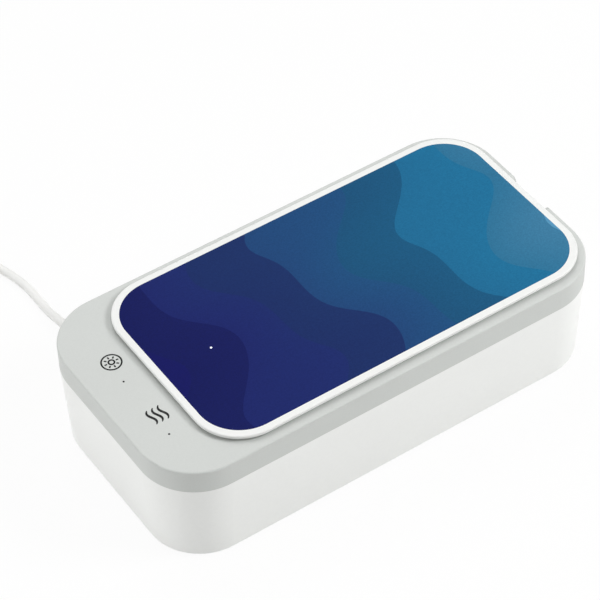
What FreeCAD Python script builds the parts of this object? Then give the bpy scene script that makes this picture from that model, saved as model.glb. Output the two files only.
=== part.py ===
import FreeCAD, Part
import Sketcher
import math
import os
import re

# Sanitizing box with a hinged lid: a white lower housing, a grey deck with a control strip,
# a steel tank with an ultrasonic transducer, and a lid that is a charging pad with lamps below it.
# Millimetres. The origin is under the middle of the housing, on the surface that the feet stand on.
# +X runs from the control strip to the finger notch, -Y is the long front side, +Z is up.

SIZES = {
    # housing
    "body_length": 224.3, "body_width": 113.3, "body_corner": 27.0,
    "foot_height": 1.0, "foot_radius": 6.0, "foot_recess": 1.0,
    "base_height": 42.6, "base_draft": 1.85, "base_wall": 2.2, "base_floor": 2.4, "base_edge": 0.6,
    "post_height": 26.0, "post_radius": 4.0, "post_inset_x": 13.15, "post_inset_y": 15.65,
    "post_shoulder": 3.0, "shell_gap": 0.3,
    # deck
    "deck_height": 11.9, "deck_edge": 0.8, "deck_plate": 2.2, "lip_depth": 3.0, "lip_wall": 1.4,
    "well_inset": 3.0, "well_depth": 4.0, "notch_width": 21.0, "notch_depth": 5.0, "notch_round": 1.0,
    # tank, placed by its margins to the well in the deck
    "tank_hinge_margin": 14.95, "tank_far_margin": 8.05, "tank_side_margin": 6.2, "tank_depth": 36.0,
    "tank_corner": 14.0, "tank_round": 6.0, "tank_wall": 0.8, "tank_flange": 4.0, "tank_clear": 0.4,
    "gasket_height": 0.6,
    # lid, placed by the strip's width and its margins to the housing, and the sheet by the rim's widths
    "strip_width": 26.75, "end_margin": 3.6, "side_margin": 4.45, "lid_corner": 22.2, "lid_gap": 1.25,
    "rim_height": 1.6, "rim_edge": 0.6, "rim_under": 0.3,
    "rim_end": 3.1, "rim_side": 3.2, "sheet_corner": 20.0, "sheet_height": 0.5,
    "tray_clear": 0.8, "tray_hinge_clear": 1.95, "tray_corner": 20.0, "tray_wall": 1.6,
    "tub_clear": 2.5, "tub_depth": 6.0, "seal_width": 4.0, "seal_height": 0.9, "seal_gap": 0.3,
    # hinge
    "axis_setback": 7.25, "axis_drop": 6.0, "pin_radius": 1.5, "pin_play": 0.05,
    "eye_radius": 3.2, "arm_radius": 14.5, "arm_thick": 3.0, "arm_width": 3.0,
    "arm_angle": 112.0, "arm_root": 0.6, "spoke_thick": 2.8, "arm_side_clear": 0.4, "slot_clear": 0.6,
    "cheek_thick": 2.1, "cheek_half": 3.5, "post_clear": 3.2,
    # control strip, its keys and lamps placed from the end wall and from the hinge
    "key_inset": 16.65, "uv_key_margin": 0.5, "wave_key_margin": 3.6, "key_pad_radius": 4.5,
    "key_pad_height": 2.8, "lamp_inset": 15.15, "uv_lamp_share": 0.7143, "wave_lamp_gap": 11.7,
    "lamp_tip_radius": 0.45, "lamp_play": 0.05, "lamp_stem_radius": 0.75, "board_height": 1.2, "board_gap": 1.1,
    "board_end_clear": 1.5, "board_hinge_clear": 1.2, "board_screw_inset": 5.0, "board_screw_offset": 4.0,
    "hinge_screw_offset": 2.0, "hinge_screw_margin": 1.0, "board_boss_wall": 0.4,
    "strip_wall": 1.6, "strip_end_clear": 1.0, "strip_margin": 2.0,
    "sensor_length": 5.0, "sensor_width": 4.0, "sensor_height": 2.0,
    # screws
    "case_screw_radius": 1.5, "case_screw_length": 10.0, "case_head_radius": 2.75, "case_head_height": 2.2,
    "small_screw_radius": 1.0, "small_head_radius": 1.8, "small_head_height": 1.4,
    "low_head_height": 0.8, "boss_wall": 0.6,
    # magnets and pad electronics
    "magnet_radius": 2.0, "magnet_height": 1.5, "magnet_wall": 0.4, "magnet_inset": 5.0,
    "coil_outer": 25.0, "coil_inner": 10.0, "coil_height": 1.2, "ferrite_height": 0.8, "ferrite_margin": 2.0,
    "indicator_inset": 27.5, "lamp_led_y": 0.2, "indicator_stem": 1.5,
    "led_size": 3.5, "led_height": 1.4, "led_pitch": 16.0, "led_gap": 0.2,
    "pane_length": 98.0, "pane_width": 18.0, "pane_height": 1.0, "pane_seat": 3.0,
    "uv_board_width": 14.0, "uv_board_margin": 4.0, "uv_screw_margin": 1.0,
    "charger_length": 70.0, "charger_clear": 2.9, "charger_gap": 9.0, "charger_rise": 2.0,
    "charger_screw_inset": 5.0, "charger_screw_grip": 1.6,
    # ultrasonic drive and inlet
    "transducer_radius": 20.0, "transducer_height": 3.0, "standoff_height": 4.6, "standoff_radius": 3.0,
    "main_length": 100.0, "main_width": 60.0, "main_height": 1.6, "main_offset": 24.5,
    "transformer_length": 14.0, "transformer_width": 12.0, "transformer_corner": 1.0,
    "transformer_height": 5.4, "can_radius": 3.0, "can_height": 5.0,
    "socket_inset": 32.25, "socket_rise": 5.6, "socket_width": 8.94, "socket_height": 3.2, "socket_depth": 7.3,
    "socket_wall": 0.25, "port_clear": 0.3, "plug_play": 0.1, "inlet_clear": 0.9,
    # cord
    "cord_diameter": 4.2, "plug_width": 11.5, "plug_height": 6.0, "plug_length": 20.0, "plug_gap": 0.4,
    "tongue_length": 6.2, "boot_length": 10.0, "boot_radius": 2.9, "boot_tip": 0.25,
    "coil_radius": 32.0, "coil_gap": 0.5, "tie_thick": 0.8, "tie_width": 8.0, "tie_gap": 0.4, "tie_under": 0.3,
    "end_width": 16.0, "end_height": 8.0, "end_length": 24.0, "shell_width": 12.0, "shell_height": 4.5,
    "shell_length": 12.0,
}

# Sizes and places that follow from the others, each from those above it.
DERIVED = {
    "lid_length": "body_length - strip_width - end_margin",
    "lid_width": "body_width - 2 * side_margin",
    "notch_flare": "notch_depth - notch_round",
    "lid_shift": "(strip_width - end_margin) / 2",
    "sheet_length": "lid_length - 2 * rim_end",
    "sheet_width": "lid_width - 2 * rim_side",
    "tank_length": "lid_length - 2 * well_inset - tank_hinge_margin - tank_far_margin",
    "tank_width": "lid_width - 2 * well_inset - 2 * tank_side_margin",
    "tank_shift": "lid_shift + (tank_hinge_margin - tank_far_margin) / 2",
    "hinge_half": "arm_width / 2 + arm_side_clear + cheek_thick",
    "arm_reach": "body_width / 2 - post_inset_y - post_radius - post_clear - hinge_half",
    "strip_half": "arm_reach + hinge_half + strip_margin",
    "control_half": "arm_reach - hinge_half - board_gap",
    "key_x": "key_inset - body_length / 2",
    "uv_key_y": "control_half - uv_key_margin - key_pad_radius",
    "wave_key_y": "0 - (control_half - wave_key_margin - key_pad_radius)",
    "key_room": "uv_key_y - wave_key_y - 2 * key_pad_radius",
    "lamp_x": "lamp_inset - body_length / 2",
    "uv_lamp_y": "wave_key_y + key_pad_radius + uv_lamp_share * key_room",
    "wave_lamp_y": "wave_key_y - wave_lamp_gap",
    "magnet_y": "lid_width / 2 - lid_corner - magnet_inset",
    "lamp_led_x": "lid_shift - lid_length / 2 + indicator_inset",
    "tub_half": "tank_width / 2 - tub_clear - tray_wall",
    "charger_width": "tub_half - charger_clear - charger_gap - uv_board_width / 2",
    "charger_y": "tub_half - charger_clear - charger_width / 2",
    "uv_board_half": "pane_length / 2 + 2 * small_head_radius + uv_board_margin",
    "main_x": "tank_shift - main_offset",
    "socket_x": "socket_inset - body_length / 2",
}

DOC = FreeCAD.newDocument("uv_sanitizer")
SHEET = DOC.addObject("Spreadsheet::Sheet", "Sizes")
FORMULAS = {alias: f"={text}" for alias, text in DERIVED.items()}
for row, (alias, content) in enumerate((SIZES | FORMULAS).items(), start=1):
    SHEET.set(f"A{row}", alias)
    SHEET.set(f"B{row}", str(content))
    SHEET.setAlias(f"B{row}", alias)
DOC.recompute()

ALIASES = SIZES.keys() | DERIVED.keys()
PIECES = []

# Levels and places that several pieces share, as formulas of the sizes.
SEAM = "(foot_height + base_height)"
DECK_TOP = f"({SEAM} + deck_height)"
WELL_FLOOR = f"({DECK_TOP} - well_depth)"
CEILING = f"({WELL_FLOOR} - deck_plate)"
STRIP_CEILING = f"({DECK_TOP} - deck_plate)"
FLOOR_TOP = "(foot_height + base_floor)"
POST_TOP = "(foot_height + post_height)"
POST_X = "(body_length / 2 - post_inset_x)"
POST_Y = "(body_width / 2 - post_inset_y)"
DECK_WALL = "(base_wall + shell_gap + lip_wall)"
LAMP_HOLE = "(lamp_tip_radius + lamp_play)"
FLANGE_TOP = f"({WELL_FLOOR} + gasket_height + tank_wall)"
TANK_UNDER = f"({FLANGE_TOP} - tank_depth - tank_wall)"
TANK_RIGHT = "(tank_shift + tank_length / 2)"
OPENING = "(tank_wall + tank_clear)"
TRAY_BOTTOM = f"({FLANGE_TOP} + seal_gap + seal_height)"
TUB_BOTTOM = f"({TRAY_BOTTOM} - tub_depth)"
TUB_FLOOR = f"({TUB_BOTTOM} + tray_wall)"
RIM_BOTTOM = f"({DECK_TOP} + lid_gap)"
RIM_TOP = f"({RIM_BOTTOM} + rim_height)"
SHEET_BOTTOM = f"({RIM_TOP} - sheet_height)"
LID_LEFT = "(lid_shift - lid_length / 2)"
LID_RIGHT = "(lid_shift + lid_length / 2)"
WELL_LEFT = f"({LID_LEFT} + well_inset)"
WELL_RIGHT = f"({LID_RIGHT} - well_inset)"
TRAY_LEFT = f"({WELL_LEFT} + tray_hinge_clear)"
TRAY_RIGHT = f"({WELL_RIGHT} - tray_clear)"
AXIS_X = f"({LID_LEFT} - axis_setback)"
AXIS_Z = f"({DECK_TOP} - axis_drop)"
ARM_OUTER = "(arm_radius + arm_thick / 2)"
ARM_INNER = "(arm_radius - arm_thick / 2)"
BOARD_TOP = f"({STRIP_CEILING} - key_pad_height)"
BOARD_UNDER = f"({BOARD_TOP} - board_height)"
MAGNET_X = f"({TANK_RIGHT} + {OPENING} + magnet_wall + magnet_radius)"
UV_BOARD_UNDER = f"({TUB_FLOOR} + pane_height + led_gap + led_height)"
CHARGER_UNDER = f"({TUB_FLOOR} + charger_rise)"
SOCKET_Z = "(foot_height + socket_rise)"
MAIN_UNDER = f"({FLOOR_TOP} + standoff_height)"


def expression(text):
    """Puts the sheet's name before each size in a formula."""
    return re.sub(r"[a-z][a-z0-9_]*", lambda m: f"Sizes.{m[0]}" if m[0] in ALIASES else m[0], text)


def size(text):
    """Works out one size, or a formula of sizes."""
    return float(SHEET.evalExpression(expression(text)))


def bind(item, formulas):
    for path, text in formulas.items():
        item.setExpression(path, expression(text))
    return item


def place(item, x, y, z):
    return bind(item, {"Placement.Base.x": x, "Placement.Base.y": y, "Placement.Base.z": z})


# The sides of a sketched rectangle before its formulas set them.
FIRST_GUESS = FreeCAD.Vector(18, 10, 0)


def origin_plane(body, role):
    return next(f for f in body.Origin.OriginFeatures if f.Role == role)


def centred_rectangle(body, role, length, width):
    """A rectangle on one of the body's origin planes, centred on the origin."""
    sketch = body.newObject("Sketcher::SketchObject", f"{body.Name}_outline")
    sketch.AttachmentSupport = [(origin_plane(body, role), "")]
    sketch.MapMode = "FlatFace"
    half_x, half_y = FIRST_GUESS.x / 2, FIRST_GUESS.y / 2
    signs = ((-1, -1), (1, -1), (1, 1), (-1, 1))
    ends = [FreeCAD.Vector(i * half_x, j * half_y, 0) for i, j in signs]
    for start, end in zip(ends, ends[1:] + ends[:1]):
        sketch.addGeometry(Part.LineSegment(start, end), False)
    for side in range(4):
        sketch.addConstraint(Sketcher.Constraint("Coincident", side, 2, (side + 1) % 4, 1))
        sketch.addConstraint(Sketcher.Constraint("Vertical" if side % 2 else "Horizontal", side))
    sketch.addConstraint(Sketcher.Constraint("Symmetric", 0, 1, 1, 2, -1, 1))
    for name, side, kind, start in (("length", 0, "DistanceX", FIRST_GUESS.x),
                                    ("width", 1, "DistanceY", FIRST_GUESS.y)):
        index = sketch.addConstraint(Sketcher.Constraint(kind, side, 1, side, 2, start))
        sketch.renameConstraint(index, name)
    return bind(sketch, {"Constraints.length": length, "Constraints.width": width})


def round_rectangle(body, length, width, corner):
    """A rectangle with round corners on the body's level plane, centred on the origin."""
    sketch = body.newObject("Sketcher::SketchObject", f"{body.Name}_outline")
    sketch.AttachmentSupport = [(origin_plane(body, "XY_Plane"), "")]
    sketch.MapMode = "FlatFace"
    radius = size(corner)
    x, y = size(length) / 2, size(width) / 2
    in_x, in_y = x - radius, y - radius
    sides = [(-in_x, -y, in_x, -y), (x, -in_y, x, in_y), (in_x, y, -in_x, y), (-x, in_y, -x, -in_y)]
    for x0, y0, x1, y1 in sides:
        sketch.addGeometry(Part.LineSegment(FreeCAD.Vector(x0, y0, 0), FreeCAD.Vector(x1, y1, 0)), False)
    for quarter, (i, j) in enumerate(((1, -1), (1, 1), (-1, 1), (-1, -1))):
        circle = Part.Circle(FreeCAD.Vector(i * in_x, j * in_y, 0), FreeCAD.Vector(0, 0, 1), radius)
        start = (quarter - 1) * math.pi / 2
        sketch.addGeometry(Part.ArcOfCircle(circle, start, start + math.pi / 2), False)
    for side in range(4):
        arc = side + 4
        sketch.addConstraint(Sketcher.Constraint("Tangent", side, 2, arc, 1))
        sketch.addConstraint(Sketcher.Constraint("Tangent", arc, 2, (side + 1) % 4, 1))
        sketch.addConstraint(Sketcher.Constraint("Vertical" if side % 2 else "Horizontal", side))
    for arc in (5, 6, 7):
        sketch.addConstraint(Sketcher.Constraint("Equal", 4, arc))
    sketch.addConstraint(Sketcher.Constraint("Symmetric", 4, 3, 6, 3, -1, 1))
    named = {"length": Sketcher.Constraint("DistanceX", 3, 1, 1, 1, 2 * x),
             "width": Sketcher.Constraint("DistanceY", 0, 1, 2, 1, 2 * y),
             "corner": Sketcher.Constraint("Radius", 4, radius)}
    for name, constraint in named.items():
        sketch.renameConstraint(sketch.addConstraint(constraint), name)
    return bind(sketch, {"Constraints.length": length, "Constraints.width": width,
                         "Constraints.corner": corner})


def edge_names(shape, test):
    return [f"Edge{i}" for i, edge in enumerate(shape.Edges, start=1) if test(edge.BoundBox)]


def rounded(body, base, radius, test):
    """Rounds those edges of a feature whose boxes pass a test."""
    DOC.recompute()
    fillet = body.newObject("PartDesign::Fillet", f"{body.Name}_round")
    fillet.Base = (base, edge_names(base.Shape, test))
    bind(fillet, {"Radius": radius})
    DOC.recompute()
    return fillet


def slab(name, length, width, corner, height, x, y, z, role="XY_Plane", draft=None, top=None, bottom=None):
    """A rectangular block with round upright corners, centred on x and y, from z upwards.

    A draft narrows it downwards from its top, its corners with it, and top and bottom round its level edges.
    """
    body = DOC.addObject("PartDesign::Body", name)
    if draft:
        drawn = round_rectangle(body, length, width, corner)
    else:
        drawn = centred_rectangle(body, role, length, width)
    pad = body.newObject("PartDesign::Pad", f"{name}_pad")
    pad.Profile = drawn
    bind(pad, {"Length": height})
    if draft:
        pad.Reversed = True
        bind(pad, {"TaperAngle": draft})
    DOC.recompute()
    last = pad
    if not draft:
        flat = (lambda b: b.XLength) if role == "YZ_Plane" else (lambda b: b.ZLength)
        least = flat(pad.Shape.BoundBox) / 2
        last = rounded(body, pad, corner, lambda b: flat(b) > least)
    for radius, level in ((top, pad.Shape.BoundBox.ZMax), (bottom, pad.Shape.BoundBox.ZMin)):
        if radius:
            last = rounded(body, last, radius, lambda b: abs(b.ZMax - level) + abs(b.ZMin - level) < 1e-3)
    body.Tip = last
    return place(body, x, y, z)


def block(name, length, width, height, x, y, z):
    """A plain box, centred on x and y, from z upwards."""
    item = DOC.addObject("Part::Box", name)
    bind(item, {"Length": length, "Width": width, "Height": height})
    return place(item, f"{x} - ({length}) / 2", f"{y} - ({width}) / 2", z)


def disc(name, radius, height, x, y, z, turn=None):
    """A cylinder that rises from x, y, z along Z, or along X or Y where turn says so."""
    item = DOC.addObject("Part::Cylinder", name)
    bind(item, {"Radius": radius, "Height": height})
    if turn == "X":
        item.Placement = FreeCAD.Placement(FreeCAD.Vector(), FreeCAD.Rotation(FreeCAD.Vector(0, 1, 0), 90))
    if turn == "Y":
        item.Placement = FreeCAD.Placement(FreeCAD.Vector(), FreeCAD.Rotation(FreeCAD.Vector(1, 0, 0), -90))
    return place(item, x, y, z)


def join(name, pieces):
    item = DOC.addObject("Part::MultiFuse", name)
    item.Shapes = pieces
    item.Refine = True
    return item


def cut(name, base, tools):
    item = DOC.addObject("Part::Cut", name)
    item.Base = base
    item.Tool = tools[0] if len(tools) == 1 else join(f"{name}_tools", tools)
    item.Refine = True
    return item


def group(name, pieces):
    item = DOC.addObject("Part::Compound", name)
    item.Links = pieces
    return item


def piece(item, solids=1):
    """Lists an object as a piece of the part, with the number of solids that it has."""
    PIECES.append((item, solids))
    return item


def solid_feature(name, shape):
    item = DOC.addObject("Part::Feature", name)
    item.Shape = shape
    item.Placement = FreeCAD.Placement()
    return item


def corners(x, y):
    """The four places that mirror one place across both middle planes."""
    return [(f"{i}{x}", f"{j}{y}") for i in ("-", "") for j in ("-", "")]


def screw(name, radius, length, head_radius, head_height, x, y, seat, head_below=True):
    """A pan-head screw: its head lies under its seat, or over it, and its shank runs the other way."""
    head_z = f"{seat} - {head_height}" if head_below else seat
    shank_z = seat if head_below else f"{seat} - ({length})"
    head = disc(f"{name}_head", head_radius, head_height, x, y, head_z)
    shank = disc(f"{name}_shank", radius, length, x, y, shank_z)
    return join(name, [head, shank])


def base_shell():
    outer = slab("base_outer", "body_length", "body_width", "body_corner", "base_height", "0", "0", SEAM,
                 draft="-atan(base_draft / base_height)", bottom="base_edge")
    inner = slab("base_inner", "body_length - 2 * base_wall", "body_width - 2 * base_wall",
                 "body_corner - base_wall", "base_height - base_floor", "0", "0", SEAM,
                 draft="-atan(base_draft / base_height)")
    hollow = cut("base_hollow", outer, [inner])
    added = []
    holes = []
    for i, (x, y) in enumerate(corners(POST_X, POST_Y)):
        added.append(disc(f"post_{i}", "post_radius", f"{POST_TOP} - {FLOOR_TOP}", x, y, FLOOR_TOP))
        seat = f"({POST_TOP} - post_shoulder)"
        holes.append(disc(f"post_well_{i}", "case_head_radius + shell_gap", f"{seat} - foot_height", x, y,
                          "foot_height"))
        holes.append(disc(f"post_hole_{i}", "case_screw_radius + pin_play", "post_shoulder", x, y, seat))
        holes.append(disc(f"foot_seat_{i}", "foot_radius", "foot_recess", x, y, "foot_height"))
    for i, (x, y) in enumerate(main_board_corners()):
        added.append(disc(f"standoff_{i}", "standoff_radius", "standoff_height", x, y, FLOOR_TOP))
        holes.append(disc(f"standoff_hole_{i}", "small_screw_radius", "standoff_height", x, y, FLOOR_TOP))
    rise = f"{SOCKET_Z} - socket_height / 2 - board_height - {FLOOR_TOP}"
    added.append(block("inlet_plinth", "socket_width * 1.6", "socket_width * 1.2", rise, "socket_x",
                       INLET_Y, FLOOR_TOP))
    holes.append(block("inlet_port", "socket_width + 2 * port_clear", "base_wall * 6",
                       "socket_height + 2 * port_clear", "socket_x", "body_width / 2 - base_wall",
                       f"{SOCKET_Z} - socket_height / 2 - port_clear"))
    piece(cut("base_shell", join("base_joined", [hollow] + added), holes))


def feet_and_case_screws():
    places = corners(POST_X, POST_Y)
    feet = [disc(f"foot_{i}", "foot_radius", "foot_height + foot_recess", x, y, "0")
            for i, (x, y) in enumerate(places)]
    piece(group("feet", feet), 4)
    seat = f"({POST_TOP} - post_shoulder)"
    screws = [screw(f"case_screw_{i}", "case_screw_radius", "case_screw_length", "case_head_radius",
                    "case_head_height", x, y, seat) for i, (x, y) in enumerate(places)]
    piece(group("case_screws", screws), 4)


def deck():
    outer = slab("deck_outer", "body_length", "body_width", "body_corner", "deck_height", "0", "0", SEAM,
                 top="deck_edge")
    lip_inset = "(base_wall + shell_gap)"
    lip = slab("deck_lip", f"body_length - 2 * {lip_inset}", f"body_width - 2 * {lip_inset}",
               f"body_corner - {lip_inset}", "2 * lip_depth", "0", "0", f"{SEAM} - lip_depth")
    cavity = slab("deck_cavity", f"body_length - 2 * {DECK_WALL}", f"body_width - 2 * {DECK_WALL}",
                  f"body_corner - {DECK_WALL}", f"{CEILING} - {SEAM} + lip_depth", "0", "0",
                  f"{SEAM} - lip_depth")
    well = slab("deck_well", "lid_length - 2 * well_inset", "lid_width - 2 * well_inset",
                "lid_corner - well_inset", "well_depth + deck_plate", "lid_shift", "0", WELL_FLOOR)
    opening = slab("deck_opening", f"tank_length + 2 * {OPENING}", f"tank_width + 2 * {OPENING}",
                   f"tank_corner + {OPENING}", "deck_height", "tank_shift", "0", SEAM)
    strip_left = f"({DECK_WALL} + strip_end_clear - body_length / 2)"
    strip_right = f"({WELL_LEFT} - strip_wall)"
    strip = block("deck_strip", f"{strip_right} - {strip_left}", "2 * strip_half",
                  f"{STRIP_CEILING} - {CEILING}", f"({strip_left} + {strip_right}) / 2", "0", CEILING)
    shell = cut("deck_shell", join("deck_block", [outer, lip]), [cavity, strip, well, opening])

    added = []
    holes = []
    for i, (x, y) in enumerate(corners(POST_X, POST_Y)):
        added.append(disc(f"boss_{i}", "post_radius", f"{CEILING} + deck_plate / 2 - {POST_TOP}", x, y,
                          POST_TOP))
        depth = "case_screw_length - post_shoulder"
        holes.append(disc(f"boss_hole_{i}", "case_screw_radius", depth, x, y, POST_TOP))
    for i, (x, y) in enumerate(control_board_screws()):
        added.append(disc(f"board_boss_{i}", "small_head_radius + board_boss_wall", "key_pad_height", x, y,
                          BOARD_TOP))
        holes.append(disc(f"board_boss_hole_{i}", "small_screw_radius", "key_pad_height * 0.8", x, y,
                          BOARD_TOP))
    for i, middle in enumerate(hinge_middles()):
        for j, sign in enumerate(("-", "+")):
            y = f"{middle} {sign} (hinge_half - cheek_thick / 2)"
            added.append(block(f"cheek_{i}_{j}", "2 * cheek_half", "cheek_thick",
                               f"{STRIP_CEILING} - {AXIS_Z} + cheek_half", AXIS_X, y, f"{AXIS_Z} - cheek_half"))
        holes.append(hinge_bore(f"pin_seat_{i}", "pin_radius", middle))
        holes.append(block(f"arm_slot_{i}", "arm_thick + 2.4 * slot_clear", "arm_width + 2 * slot_clear",
                           "deck_plate", f"{AXIS_X} + arm_radius", middle, CEILING))
    notch_floor = f"({DECK_TOP} - notch_depth)"
    wall_x = "(body_length / 2)"
    added.append(block("notch_floor", f"{wall_x} - {WELL_RIGHT} + 2 * tray_clear - deck_edge",
                       "notch_width + 2 * deck_plate", "2 * deck_plate",
                       f"({wall_x} + {WELL_RIGHT} - 2 * tray_clear - deck_edge) / 2", "0",
                       f"{notch_floor} - 2 * deck_plate"))
    notch_run = f"({wall_x} - {WELL_RIGHT} + deck_edge)"
    holes.append(slab("notch", "notch_width", "2 * notch_depth", "notch_round", notch_run, WELL_RIGHT, "0",
                      DECK_TOP, role="YZ_Plane"))
    # Each upper corner of the notch rolls over into the deck's top.
    for i, sign in enumerate(("-", "")):
        side = block(f"notch_side_{i}", notch_run, "notch_flare", "2 * notch_flare",
                     f"{WELL_RIGHT} + {notch_run} / 2",
                     f"{sign}(notch_width + notch_flare) / 2", f"{DECK_TOP} - notch_flare")
        roll = disc(f"notch_roll_{i}", "notch_flare", notch_run, WELL_RIGHT,
                    f"{sign}(notch_width / 2 + notch_flare)", f"{DECK_TOP} - notch_flare", turn="X")
        holes.append(cut(f"notch_corner_{i}", side, [roll]))
    for i, sign in enumerate(("-", "")):
        holes.append(disc(f"deck_magnet_seat_{i}", "magnet_radius", "magnet_height", MAGNET_X,
                          f"{sign}magnet_y", CEILING))
    for i, y in enumerate(("uv_lamp_y", "wave_lamp_y")):
        holes.append(disc(f"lamp_hole_{i}", LAMP_HOLE, "2 * deck_plate", "lamp_x", y, STRIP_CEILING))
    piece(cut("deck", join("deck_joined", [shell] + added), holes))


def hinge_middles():
    """The middles of the two hinge arms along Y."""
    return ("-arm_reach", "arm_reach")


def hinge_bore(name, radius, middle):
    """A cylinder on the hinge axis, as long as one arm with its two cheeks."""
    return disc(name, radius, "2 * hinge_half", AXIS_X, f"{middle} - hinge_half", AXIS_Z, turn="Y")


def hinge_pins():
    for name, middle in zip(("hinge_pin_front", "hinge_pin_back"), hinge_middles()):
        piece(hinge_bore(name, "pin_radius", middle))


def tank():
    depth = "(tank_depth + tank_wall)"
    outer = slab("tank_outer", "tank_length + 2 * tank_wall", "tank_width + 2 * tank_wall",
                 "tank_corner + tank_wall", depth, "tank_shift", "0", TANK_UNDER,
                 bottom="tank_round + tank_wall")
    flange = ring_outline("tank_flange_plate", f"{OPENING} + tank_flange", "tank_wall",
                          f"{FLANGE_TOP} - tank_wall")
    inner = slab("tank_inner", "tank_length", "tank_width", "tank_corner", depth, "tank_shift", "0",
                 f"{TANK_UNDER} + tank_wall", bottom="tank_round")
    piece(cut("tank", join("tank_block", [outer, flange]), [inner]))
    plate = ring_outline("gasket_plate", f"{OPENING} + tank_flange", "gasket_height", WELL_FLOOR)
    hole = ring_outline("gasket_hole", OPENING, "2 * gasket_height", f"{WELL_FLOOR} - gasket_height / 2")
    piece(cut("tank_gasket", plate, [hole]))
    piece(disc("transducer", "transducer_radius", "transducer_height", "tank_shift", "0",
               f"{TANK_UNDER} - transducer_height"))


def ring_outline(name, spread, height, z):
    """The tank's inner outline, spread outwards, as a plate."""
    return slab(name, f"tank_length + 2 * ({spread})", f"tank_width + 2 * ({spread})",
                f"tank_corner + {spread}", height, "tank_shift", "0", z)


def main_board_corners():
    inset = "2 * standoff_radius"
    return [(f"(main_x {i} (main_length / 2 - {inset}))", f"({j} main_width / 2 - {j} {inset})")
            for i in ("-", "+") for j in ("-1 *", "1 *")]


def drive_electronics():
    board = block("main_plate", "main_length", "main_width", "main_height", "main_x", "0", MAIN_UNDER)
    holes = [disc(f"main_hole_{i}", "small_screw_radius", "main_height", x, y, MAIN_UNDER)
             for i, (x, y) in enumerate(main_board_corners())]
    piece(cut("driver_board", board, holes))
    top = f"({MAIN_UNDER} + main_height)"
    piece(slab("driver_transformer", "transformer_length", "transformer_width", "transformer_corner",
               "transformer_height", "main_x - main_length / 4", "0", top))
    cans = [disc(f"can_{i}", "can_radius", "can_height", "main_x - main_length / 4",
                 f"{sign}main_width / 4", top)
            for i, sign in enumerate(("-", ""))]
    piece(group("driver_capacitors", cans), 2)
    screws = [screw(f"board_screw_{i}", "small_screw_radius", "main_height + standoff_height * 0.8",
                    "small_head_radius", "small_head_height", x, y, top, head_below=False)
              for i, (x, y) in enumerate(main_board_corners())]
    piece(group("board_screws", screws), 4)


# The socket's mouth is a little inside the housing's back wall, and its board stands behind it.
WALL_FACE = "(body_width / 2 - base_draft * (1 - socket_rise / base_height))"
SOCKET_MOUTH = f"({WALL_FACE} - plug_gap)"
INLET_Y = f"({WALL_FACE} - base_wall - inlet_clear - socket_width * 0.7)"


def inlet():
    under = f"({SOCKET_Z} - socket_height / 2 - board_height)"
    piece(block("inlet_board", "socket_width * 1.6", "socket_width * 1.4", "board_height", "socket_x",
                INLET_Y, under))
    middle = f"({SOCKET_MOUTH} - socket_depth / 2)"
    can = block("socket_can", "socket_width", "socket_depth", "socket_height", "socket_x", middle,
                f"{SOCKET_Z} - socket_height / 2")
    hollow = block("socket_hollow", "socket_width - 2 * socket_wall", "socket_depth",
                   "socket_height - 2 * socket_wall", "socket_x", f"{middle} + socket_wall * 2",
                   f"{SOCKET_Z} - socket_height / 2 + socket_wall")
    piece(cut("usb_socket", can, [hollow]))


def control_board_screws():
    left = f"({DECK_WALL} + board_screw_inset - body_length / 2)"
    return [(left, "uv_lamp_y + board_screw_offset"), (left, "wave_key_y"),
            (f"({AXIS_X} + hinge_screw_offset)", "0")]


def control_electronics():
    left = f"({DECK_WALL} + board_end_clear - body_length / 2)"
    right = f"({AXIS_X} + 2 * small_head_radius + hinge_screw_margin)"
    main = block("control_main", f"{right} - {left}", "2 * control_half", "board_height",
                 f"({left} + {right}) / 2", "0", BOARD_UNDER)
    arm_right = f"({AXIS_X} - eye_radius - board_hinge_clear)"
    foot = "(wave_lamp_y - 4 * lamp_stem_radius)"
    arm = block("control_arm", f"{arm_right} - {left}", f"0 - {foot}", "board_height",
                f"({left} + {arm_right}) / 2", f"{foot} / 2", BOARD_UNDER)
    holes = [disc(f"control_hole_{i}", "small_screw_radius", "board_height", x, y, BOARD_UNDER)
             for i, (x, y) in enumerate(control_board_screws())]
    piece(cut("control_board", join("control_plate", [main, arm]), holes))
    screws = [screw(f"control_screw_{i}", "small_screw_radius", "board_height + key_pad_height * 0.7",
                    "small_head_radius", "small_head_height", x, y, BOARD_UNDER)
              for i, (x, y) in enumerate(control_board_screws())]
    piece(group("control_screws", screws), 3)
    for name, y in (("touch_pad_uv", "uv_key_y"), ("touch_pad_ultrasonic", "wave_key_y")):
        piece(disc(name, "key_pad_radius", "key_pad_height", "key_x", y, BOARD_TOP))
    for name, y in (("light_pipe_uv", "uv_lamp_y"), ("light_pipe_ultrasonic", "wave_lamp_y")):
        stem = disc(f"{name}_stem", "lamp_stem_radius", "key_pad_height", "lamp_x", y, BOARD_TOP)
        tip = disc(f"{name}_tip", "lamp_tip_radius", "deck_plate", "lamp_x", y, STRIP_CEILING)
        piece(join(name, [stem, tip]))
    piece(block("lid_sensor", "sensor_length", "sensor_width", "sensor_height",
                f"{TRAY_LEFT} + sensor_length / 2", "0", f"{CEILING} - sensor_height"))
    magnets = [disc(f"deck_magnet_{i}", "magnet_radius", "magnet_height", MAGNET_X, f"{sign}magnet_y", CEILING)
               for i, sign in enumerate(("-", ""))]
    piece(group("deck_magnets", magnets), 2)


def lid_magnet_places():
    return [(MAGNET_X, "-magnet_y"), (MAGNET_X, "magnet_y"), (f"({TRAY_LEFT} + 2 * magnet_radius)", "0")]


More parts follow.
